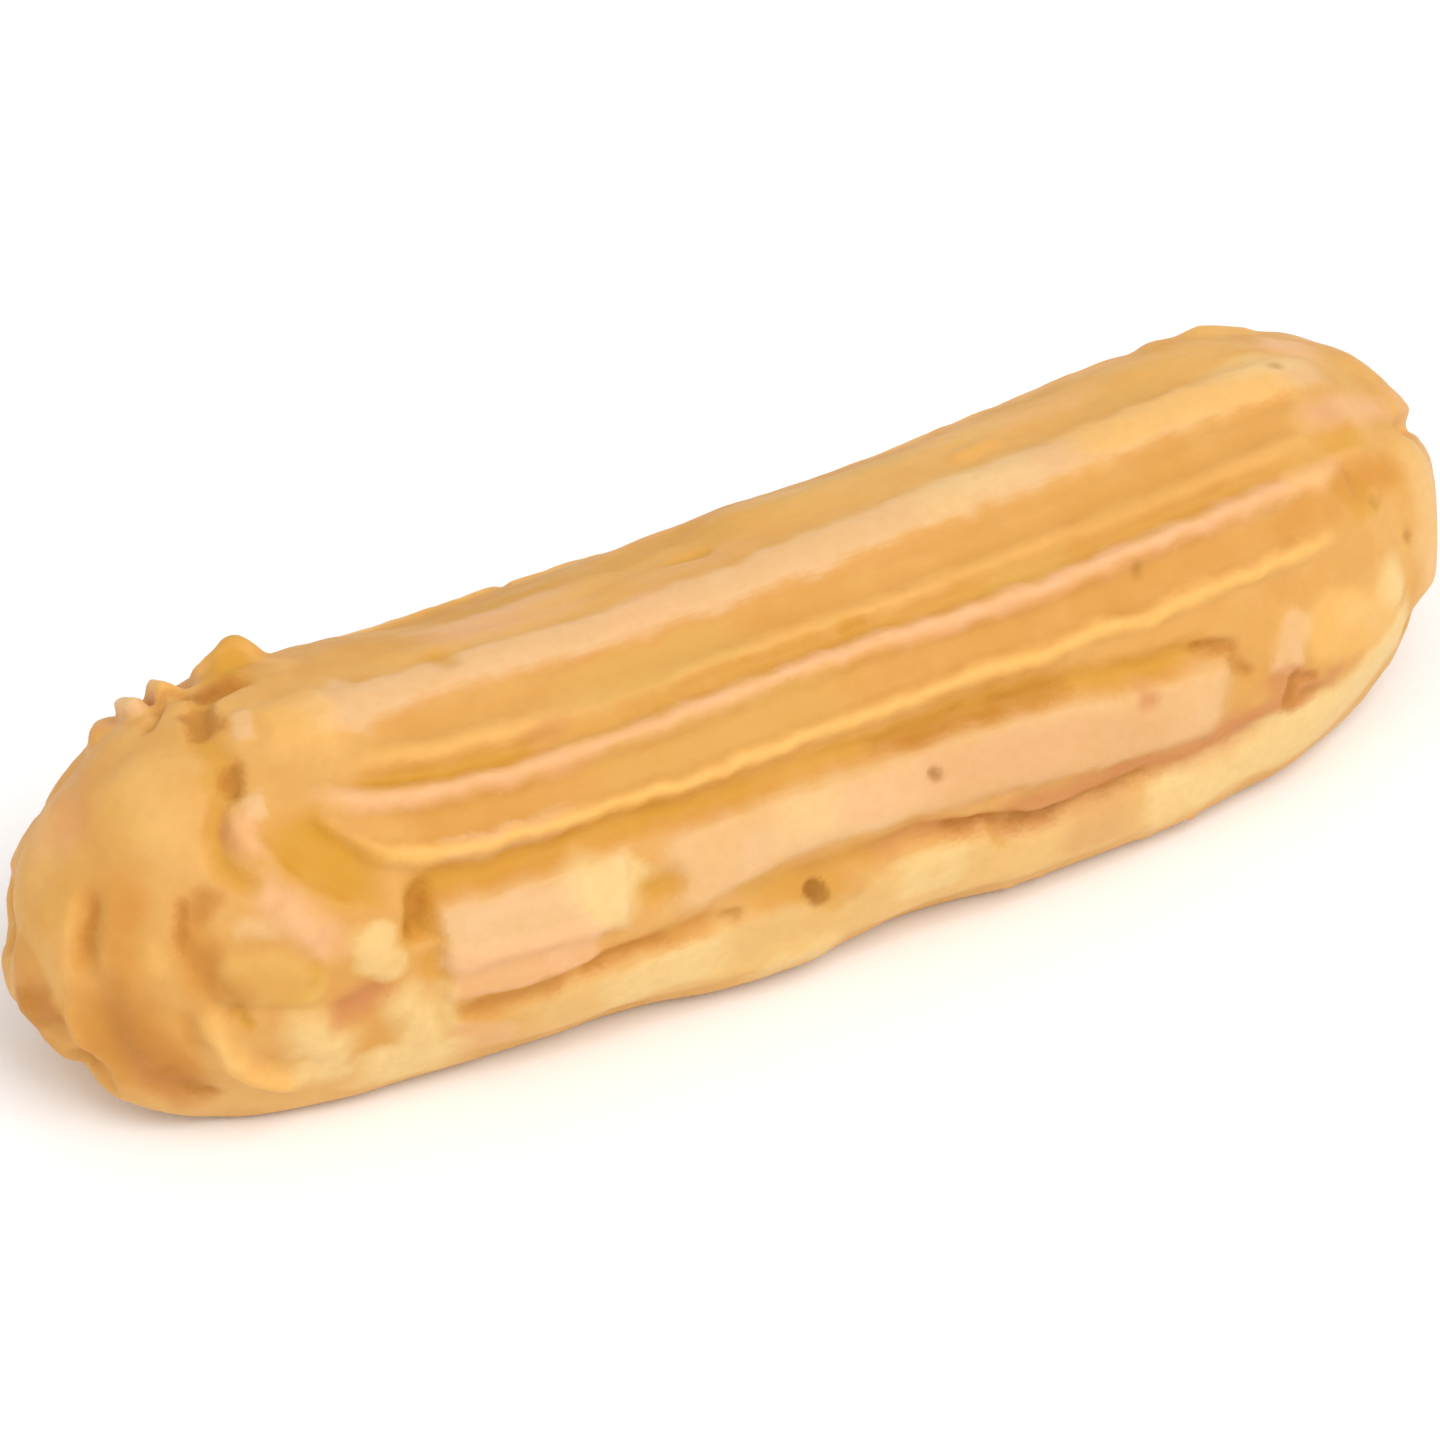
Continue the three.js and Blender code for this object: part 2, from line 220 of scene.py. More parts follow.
remesh(smooth_steps=12)
skin = mesh_points(shell)
print("skin:", len(skin), "points,", 2 * len(shell.data.polygons), "triangles")

# %% [markdown]
# ## Strokes
# All the modelling on the skin is done with strokes, as with a sculpting brush: a short path of places on
# the body, a half width, and a height that the dough rises by, or sinks by where it is negative. Each
# stroke may also carry a tint: the colour that the oven gave to the dough there, and in many places also a
# painted highlight or a painted shade. A brush in sculpt mode would do the same by hand, but strokes that
# are written down can be measured, moved and repeated.
#
# Hand-piped dough is never ruled, so a slow noise makes every stroke wander by a fraction of a millimetre.
# The noise has a fixed seed, so each run wanders in the same way.
# %% The stroke, its path and its reach
WANDER = 0.3
WANDER_SIZE = 6.0
JITTER = 0.18
JITTER_SIZE = 1.9
NOISE_SEED = 7
PATH_STEPS = 10
TAPER_OFF = 1.6
TAPER_SHARE = 0.35

PROFILES = {
    "round": lambda away: (1 - away**2) ** 2,
    "flat": lambda away: ease((1 - away) * 2.2),
    "crease": lambda away: (1 - away) ** 1.4,
}


def smooth_path(path):
    """Close places on a smooth curve through the given places."""
    knots = np.array([path[0], *path, path[-1]], float)
    part = np.linspace(0, 1, PATH_STEPS, endpoint=False)[:, None]
    pieces = []
    for before, start, end, after in zip(knots, knots[1:], knots[2:], knots[3:]):
        bend = 2 * before - 5 * start + 4 * end - after
        twist = 3 * (start - end) + after - before
        pieces.append(start + 0.5 * part * (end - before + part * (bend + part * twist)))
    return np.concatenate([*pieces, [path[-1]]])


def stroke(path, half, rise, tint=None, amount=0.0, spread=1.0, taper=None, profile="round"):
    """A path of places, its half width and rise in mm, its tint, and how far its ends taper off."""
    close = smooth_path(path) if len(path) > 1 else np.array(path, float)
    line = body_point(close[:, 0], close[:, 1])
    return {"line": line, "half": half, "rise": rise, "tint": tint, "amount": amount, "spread": spread,
            "taper": taper or TAPER_OFF * half, "profile": profile}


def slab(path, half, rise, tint=None, amount=0.0, spread=1.0, taper=None):
    """A stroke with a flat top and steep sides."""
    return stroke(path, half, rise, tint, amount, spread, taper, "flat")


def paint(path, half, tint, amount):
    """A stroke that lifts nothing and only leaves its tint."""
    return stroke(path, half, 0, tint, amount)


def patch(path, half, tint, amount):
    """Paint of one even strength, with firmer edges."""
    return slab(path, half, 0, tint, amount)


def weight(mark, points, half):
    """How strongly a stroke acts on each point, from 0 to 1."""
    line = mark["line"]
    lengths = np.linalg.norm(np.diff(line, axis=0), axis=1)
    reached = np.concatenate([[0], np.cumsum(lengths)])
    acted = np.zeros(len(points))
    inside = np.all((points > line.min(0) - half) & (points < line.max(0) + half), axis=1)
    near = points[inside]
    away = np.linalg.norm(near - line[0], axis=1)
    along = np.zeros(len(near))
    for start, end, before, length in zip(line, line[1:], reached, lengths):
        edge = end - start
        part = np.clip((near - start) @ edge / max(length**2, 1e-9), 0, 1)
        gap = np.linalg.norm(near - start - part[:, None] * edge, axis=1)
        closer = gap < away
        away[closer] = gap[closer]
        along[closer] = before + part[closer] * length
    from_end = np.minimum(along, reached[-1] - along)
    is_dab = reached[-1] < 2 * half
    fade = 1 if is_dab else ease(from_end / min(mark["taper"], TAPER_SHARE * reached[-1]))
    fall = PROFILES[mark["profile"]](np.clip(away / half, 0, 1))
    acted[inside] = np.where(away < half, fall * fade, 0)
    return acted


def noise_vectors(points, size, shift=0.0):
    """A slow random direction at each point; size is that of its waves, in mm."""
    offset = Vector((shift, 2.7 * shift, -1.3 * shift))
    return np.array([noise.noise_vector(Vector(point) / size + offset) for point in points])


noise.seed_set(NOISE_SEED)
jitter = JITTER * noise_vectors(skin, JITTER_SIZE, shift=3.0)
wandering = skin + WANDER * noise_vectors(skin, WANDER_SIZE) + jitter
print("wander: up to", round(float(np.abs(wandering - skin).max()), 2), "mm")

# %% [markdown]
# ## Ridges of the star nozzle
# Each tooth of the nozzle cuts a groove, and the dough between two teeth comes out as a ridge. On the near
# side there is a broad pale band along the top, a weak ridge, two sharp crests, a deep groove and a second
# broad band low on the side. A star-shaped circle, extruded, would give them all at once, but all alike;
# drawn one by one, each gets its own width, sharpness and colour.
# %% Near side and top
TOP_BAND = [(-45, 80), (-40, 82), (-32, 84), (-22, 84.7), (-12, 84), (-2, 84.2), (13, 86), (28, 86.5),
            (44, 87), (61, 87)]
# The cream and pink on the bands and crests is partly their paler crust and partly painted highlight; the
# toast, straw and ochre in the grooves and on the facets between them is partly darker crust and partly
# painted shade.
near_ridges = [
    stroke(TOP_BAND, 3.6, 0.5, taper=7),
    slab(TOP_BAND, 2.9, 0.15, "cream", 0.9, 0.95, taper=4),
    slab([(-41, 92), (-39, 84), (-41, 75)], 2.6, 0.2, "cream", 0.7, taper=1),
    patch([(47, 92), (53, 94), (60, 92)], 2.8, "butter", 0.5),
    patch([(-38, 83), (-33, 84)], 2.5, "cream", 0.6),
    patch([(-16, 86), (-6, 88)], 2.6, "pink", 0.45),
    patch([(14, 88), (30, 89)], 2.8, "butter", 0.45),
    patch([(30, 88), (46, 88), (57, 85)], 3.0, "honey", 0.8),
    stroke([(-36, 76), (-28, 77.5), (-2, 77), (28, 77), (55, 77)], 1.2, -0.3, "toast_and_shade", 0.3),
    patch([(-24, 69), (-16, 68), (-8, 69), (-2, 70)], 2.8, "straw", 0.8),
    patch([(-24, 45), (-16, 45.5), (-6, 46), (5, 46)], 2.6, "straw", 0.8),
    patch([(17, 59.5), (28, 59)], 1.5, "straw", 0.7),
    stroke([(-40, 70.5), (-10, 70.5), (20, 69.5), (54, 70.5)], 2.8, -0.45, "toast_and_shade", 0.3),
    stroke([(-43, 65), (-37, 65), (-30, 64), (-22, 62.5)], 1.5, 0.35, "honey", 0.65, 0.9, taper=5),
    stroke([(-13, 64), (-8, 65), (5, 64.5), (16, 65.5), (27, 65)], 1.4, 0.4, "honey", 0.55),
    stroke([(24, 65), (38, 65), (54, 64)], 1.4, 0.3, "honey", 0.4),
    stroke([(-43, 60), (-30, 57), (-10, 59), (20, 59), (50, 58)], 1.6, -0.45, "ochre", 0.35),
    stroke([(-43, 59), (-35, 57), (-24, 56.5)], 1.6, -0.2, "ochre", 0.95, taper=3),
    paint([(-10, 60), (0, 59.5), (20, 59)], 1.5, "ochre", 0.5),
    paint([(26, 58.5), (40, 58.5), (52, 58)], 1.5, "ochre", 0.4),
    stroke([(-46, 65), (-45.5, 60.5), (-43, 56.5), (-38, 53.5), (-30, 51.5), (-20, 51.5), (-11, 53),
            (4, 55), (19, 53.2), (34, 54.2), (42, 54.2), (49, 53.5), (57, 52)], 1.8, 1.15, "pink", 0.95,
           0.9, taper=4),
    stroke([(47, 53.5), (53, 53), (59, 51)], 1.8, -0.55, "honey", 0.4),
    paint([(25, 53), (37, 53)], 1.8, "pink", 0.5),
    paint([(27, 55), (33, 55.5), (38, 55)], 1.3, "cream", 0.6),
    paint([(40, 53), (48, 52.5), (56, 52)], 1.8, "pink", 0.5),
    stroke([(-41, 45), (-10, 46), (25, 46), (52, 45.5)], 3, -0.5, "toast_and_shade", 0.3),
    paint([(43, 45), (50, 44.5), (56, 43)], 2.8, "toast_and_shade", 0.7),
    stroke([(-44.5, 49), (-42.5, 42), (-38, 37.7), (-30, 36.2), (-12, 37), (-1, 38.5), (9, 38.7),
            (18, 38.2), (29, 37.7), (39, 37.4), (53, 37.3)], 1.45, 1.0, "honey", 1.0, 0.85, taper=4),
    patch([(-38, 37.5), (-31, 36.3), (-24, 36.5)], 1.4, "cream", 0.8),
    stroke([(-42, 30), (-30, 29.5), (-21, 31), (-12, 29.5), (-4, 29.5), (4, 29.5), (18, 29), (28, 25),
            (34, 23.5), (38, 22.5)], 2.3, -1.05, "ochre", 0.7, 1.05),
    paint([(-21, 31), (-12, 29.5), (-3, 30), (6, 30), (18, 28.5), (30, 25), (37, 22)], 2.0, "ochre", 0.8),
    paint([(-42, 27), (-30, 27), (-21, 27)], 2.4, "ochre", 0.5),
    stroke([(2, 29), (8, 28.5), (13, 28), (18, 27.5), (24, 26)], 1.4, -0.3, "brown", 0.5),
    stroke([(34.5, 23), (38, 22.4), (40.2, 20)], 1.05, -0.7, "brown", 0.8, 1.1, taper=1.6),
    stroke([(38.6, 21), (39.2, 15), (40.6, 8.5)], 1.1, -0.6, "brown", 0.6, taper=1),
    slab([(-39.3, 15), (-30, 15.5), (-21, 14)], 4.3, 0.85, "cream", 1.0, taper=1.4),
    slab([(-19, 11), (-12, 15.5), (-5, 18.5), (2, 18), (8, 17), (15, 16), (25, 11.5), (35, 8.5), (39, 6)],
         4.5, 0.9, "cream", 0.75, taper=3),
    paint([(-9, 18), (-4, 19), (0, 16)], 3.2, "butter", 0.5),
    patch([(-15, 12), (-8, 15), (0, 15), (8, 13)], 3.0, "cream", 0.9),
    patch([(-4, 18), (10, 17), (24, 13)], 2.2, "pink", 0.45),
    patch([(4, 15), (14, 13), (26, 8), (34, 5)], 4.0, "rust", 0.22),
    slab([(-38.8, 4), (-31, 1.5), (-24, 3)], 3.4, 0.55, "pink", 0.75, taper=1.5),
    patch([(31, 12), (38, 10)], 3.2, "cream", 0.8),
]
print("near side:", len(near_ridges), "strokes")

# %% [markdown]
# ## The far side
# One nozzle made the far side too, so it has a crest, a groove, pale bands and a split of its own. Only its
# top shows from the front, but the piece is used from all sides. Mirroring the near side would be quick,
# but no two sides of a hand-piped eclair are twins, so it gets its own strokes, fewer and softer.
# %% The far side and its split
far_ridges = [
    stroke([(-40, 102), (-10, 103), (30, 103), (54, 101)], 3.4, -0.18, "toast_and_shade", 0.25),
    patch([(-32, 107), (-10, 107)], 4.6, "pink", 0.8),
    paint([(-36, 97), (-20, 97), (-8, 96)], 2.6, "honey", 0.4),
    paint([(-12, 98), (-4, 98), (4, 99)], 2.6, "pink", 0.35),
    paint([(27, 112), (34, 111), (42, 111)], 3.0, "pink", 0.8),
    paint([(5, 114), (14, 118), (24, 119)], 2.8, "straw", 0.8),
    paint([(36, 104), (45, 99)], 2.6, "straw", 0.8),
    patch([(-4, 110), (10, 110), (24, 110), (44, 109), (56, 106)], 5.0, "honey", 0.55),
    paint([(-6, 116), (2, 114), (12, 115)], 4.0, "ochre", 0.3),
    paint([(28, 116), (40, 115), (52, 112)], 4.2, "ochre", 0.3),
    stroke([(-36, 123), (-20, 121), (-4, 119)], 10, -1.3),
    stroke([(-13, 120), (-4, 117), (4, 117)], 8, -1.3),
    stroke([(50, 128), (54, 127)], 3, 0.5),
    stroke([(-8, 133), (20, 132), (51, 128)], 2.2, 0.2, "pink", 0.4, 0.8),
    paint([(-22, 105), (-14, 106), (-6, 108)], 3.2, "honey", 0.7),
    stroke([(-40, 138), (54, 138)], 2.8, -0.4, "toast_and_shade", 0.3),
    stroke([(-43.5, 155), (-40, 150), (-32, 148.5), (-20, 150), (-8, 152), (5, 151.5), (16, 149), (28, 149),
            (40, 150), (53, 147)], 1.5, 0.9, "honey", 0.9, 0.85, taper=6),
    patch([(-34, 148.5), (-24, 149.5)], 1.4, "cream", 0.7),
    paint([(8, 151), (20, 149), (30, 149)], 1.6, "pink", 0.8),
    stroke([(-41, 159), (-30, 157), (-18, 158.5), (-6, 161), (6, 161), (18, 158), (30, 160), (38, 164),
            (42, 169)], 2.4, -1.1, "ochre", 0.7, 1.05, taper=5),
    stroke([(-14, 160), (-6, 162), (2, 162)], 1.3, -0.3, "brown", 0.5),
    stroke([(38, 163), (41, 166), (42.5, 172)], 1.1, -0.6, "brown", 0.8, taper=1.2),
    slab([(-38.6, 165), (-32, 163), (-24, 165)], 4.0, 0.85, "cream", 0.9, taper=1.6),
    slab([(-21, 171), (-12, 167), (-3, 170), (6, 172), (16, 168), (26, 170), (34, 175), (39, 177)], 4.2,
         0.85, "cream", 0.7, taper=3),
    paint([(-18, 169), (-10, 167), (-3, 170)], 3.2, "butter", 0.6),
    patch([(4, 173), (16, 169), (26, 172)], 2.6, "pink", 0.6),
    stroke([(-42.6, 154), (-43.6, 162), (-42.6, 174)], 1.6, -0.9, "ochre", 0.9, 1.2, taper=1.5),
    stroke([(-48, 152), (-48.6, 160), (-47.6, 168)], 2.8, 0.7, "pink", 0.8, taper=2),
    stroke([(-46, 176), (-45, 184)], 2.8, 0.5, "butter", 0.8, 1.2),
    stroke([(-52.6, 150), (-53.4, 162), (-52.6, 176)], 1.6, -0.6, "toast_and_shade", 0.9, 1.2),
    paint([(-60, 176), (-59, 200), (-57, 224)], 5.0, "toast_and_shade", 0.7),
    paint([(-53, 186), (-50, 200), (-44, 208)], 3.6, "butter", 0.7),
    stroke([(47, 158), (48, 166), (46, 174)], 2.4, 0.35, "cream", 0.7),
    paint([(67, 132), (66, 158), (64, 190), (60, 210)], 4.6, "butter", 0.5),
    paint([(54, 158), (56, 176), (53, 192)], 4.4, "honey", 0.5),
]
FAR_SPLIT = [(-43, 190), (-37, 187), (-30, 190), (-23, 194), (-16, 193), (-9, 188), (-1, 184), (7, 186),
             (15, 192), (23, 194), (31, 190), (38, 186), (45, 184)]
far_ridges += [
    stroke(FAR_SPLIT[:7], 1.7, -0.65, "toast_and_shade", 0.7, 1.2, taper=5),
    stroke(FAR_SPLIT[5:], 1.8, -0.8, "rust", 0.6, 1.1, taper=5),
    stroke(FAR_SPLIT[1:5], 1.1, -0.5, "brown", 0.8, profile="crease"),
    stroke(FAR_SPLIT[7:11], 1.2, -0.7, "brown", 0.85, profile="crease"),
    stroke([(-9, 181), (-8.4, 187), (-6.4, 193)], 1.0, -0.5, "brown", 0.7),
    stroke([(38, 182), (37, 187), (38.6, 193)], 1.0, -0.5, "brown", 0.7),
    slab([(-4, 196), (-3.6, 198)], 1.2, -0.4, "pit", 0.8),
    paint([(8, 194), (20, 200), (30, 198)], 2.4, "rust", 0.4),
    patch([(-34, 202), (-22, 208), (-12, 202)], 3.8, "butter", 0.9),
    stroke([(0, 204), (10, 208), (18, 212)], 4.0, 0.35, "butter", 1.0),
    patch([(28, 208), (38, 204), (47, 198)], 3.6, "butter", 0.85),
]
print("far side:", len(far_ridges), "strokes")

# %% [markdown]
# ## The split along the side
# While the crust sets, steam still pushes from inside, and the side tears along its weakest line. The crack
# is narrow and steep, with paler dough that opened last below it, a small hole, and a forked tear near the
# nose. A boolean cut would leave walls too clean for baked dough, so the crack is a row of sharp strokes.
# %% Split, hole and tear
SPLIT = [(-38, -14), (-32, -14.5), (-27, -11), (-22, -8), (-17, -7), (-12, -5), (-8, -2), (-4, -1),
         (0, -0.5), (4, -0.5), (8, -1), (13, -6.5), (18, -14.5), (25, -14), (31, -14), (37, -16),
         (42, -13), (45, -9)]
# The toast, rust and brown along the crack are partly darker dough and partly painted shade inside it.
baking_split = [
    stroke(SPLIT[:6], 1.8, -0.6, "toast_and_shade", 0.65, 1.2),
    stroke(SPLIT[:3], 1.2, -0.2, "brown", 0.5, taper=2),
    stroke(SPLIT[5:10], 2.0, -0.5, "ochre", 0.5),
    stroke(SPLIT[8:], 1.7, -0.8, "rust", 0.5, 1.1, taper=5),
    stroke(SPLIT[2:5], 1.1, -0.25, "brown", 0.5),
    stroke(SPLIT[10:15], 1.2, -0.65, "brown", 0.85, profile="crease"),
    stroke([(-8, -6), (-6, -6)], 2.4, 0.35),
    stroke([(31, -13), (34, -14)], 2.0, 0.35),
    stroke([(12, -3), (22, -7), (30, -8), (37, -9), (42, -6), (47, 0)], 2.6, -0.2, "rust", 0.85),
    stroke([(15, -9), (18, -13.5), (22, -14)], 1.0, -0.5, "brown", 0.8, taper=1.5),
    paint([(30, -10), (36, -13), (41, -11), (44, -5)], 2.4, "rust", 0.8),
    paint([(31, -5), (37, -3), (42, 1)], 2.2, "rust", 0.55),
    paint([(24, -10), (31, -10), (37, -9)], 1.8, "rust", 0.6),
    patch([(36, -22), (44, -18), (52, -13)], 3.0, "butter", 1.0),
    patch([(-31, 0), (-25, -1)], 2.4, "pink", 0.9),
    patch([(-20, -3), (-16, -2)], 1.6, "toast_and_shade", 0.3),
    paint([(-13, 2), (-8, 2), (-5, 0)], 2.0, "ochre", 0.4),
    paint([(-7, 0), (-2, 1), (4, 2), (10, 1)], 2.0, "brown", 0.2),
    paint([(-2, -8), (0, -14)], 1.8, "toast_and_shade", 0.6),
    patch([(5, 0), (11, -1)], 1.5, "rust", 0.6),
    slab([(-4, -9), (-3.8, -10.5)], 1.3, -0.45, "pit", 0.9, 1.1),
    paint([(-5, -7), (-3, -8), (-3, -13)], 2.2, "ochre", 0.7),
    stroke([(-2.8, -16), (-1.5, -19)], 1.3, -0.2, "ochre", 0.6),
    stroke([(-12.4, -8), (-11.6, -9)], 1.1, -0.5, "brown", 0.8),
    stroke([(14, -9), (14.5, -17)], 1.0, -0.4, "ochre", 0.6),
    stroke([(44.4, 8), (45.2, 3), (45, -4), (45, -13)], 1.1, -0.65, "brown", 0.8),
    stroke([(45.5, 3), (48, 0.5)], 0.9, -0.4, "brown", 0.7),
    stroke([(45, -2), (47, -5), (50, -8)], 1.1, -0.4, "brown", 0.6),
    patch([(44, 4), (47, -4)], 2.2, "rust", 0.6),
    patch([(48, -1), (51, -6)], 1.6, "rust", 0.5),
    stroke([(-20, 18), (-19, 11), (-16, 16)], 1.9, -0.6, "ochre", 0.75),
    stroke([(-38.6, 31), (-39.8, 26), (-40.2, 21), (-40, 14)], 1.7, -1.1, "ochre", 0.95, 1.2, taper=1),
    stroke([(-40, 26), (-40.6, 19)], 1.4, -0.4, "brown", 0.75),
    stroke([(-39.8, 14), (-39, 6), (-38.6, -2)], 1.3, -0.35, "ochre", 0.6),
    # These butter patches low on the curve are partly paler dough and partly painted light: they lift the
    # shade of the underside near the floor.
    patch([(-41, 6), (-40, -14), (-41, -34), (-42, -50)], 3.2, "butter", 0.95),
    patch([(-49, -32), (-42, -38), (-34, -44)], 3.4, "butter", 1.0),
    stroke([(-39.5, 3), (-38.8, -14), (-38.2, -34)], 1.2, -0.35, "ochre", 0.35),
]
print("split:", len(baking_split), "strokes")

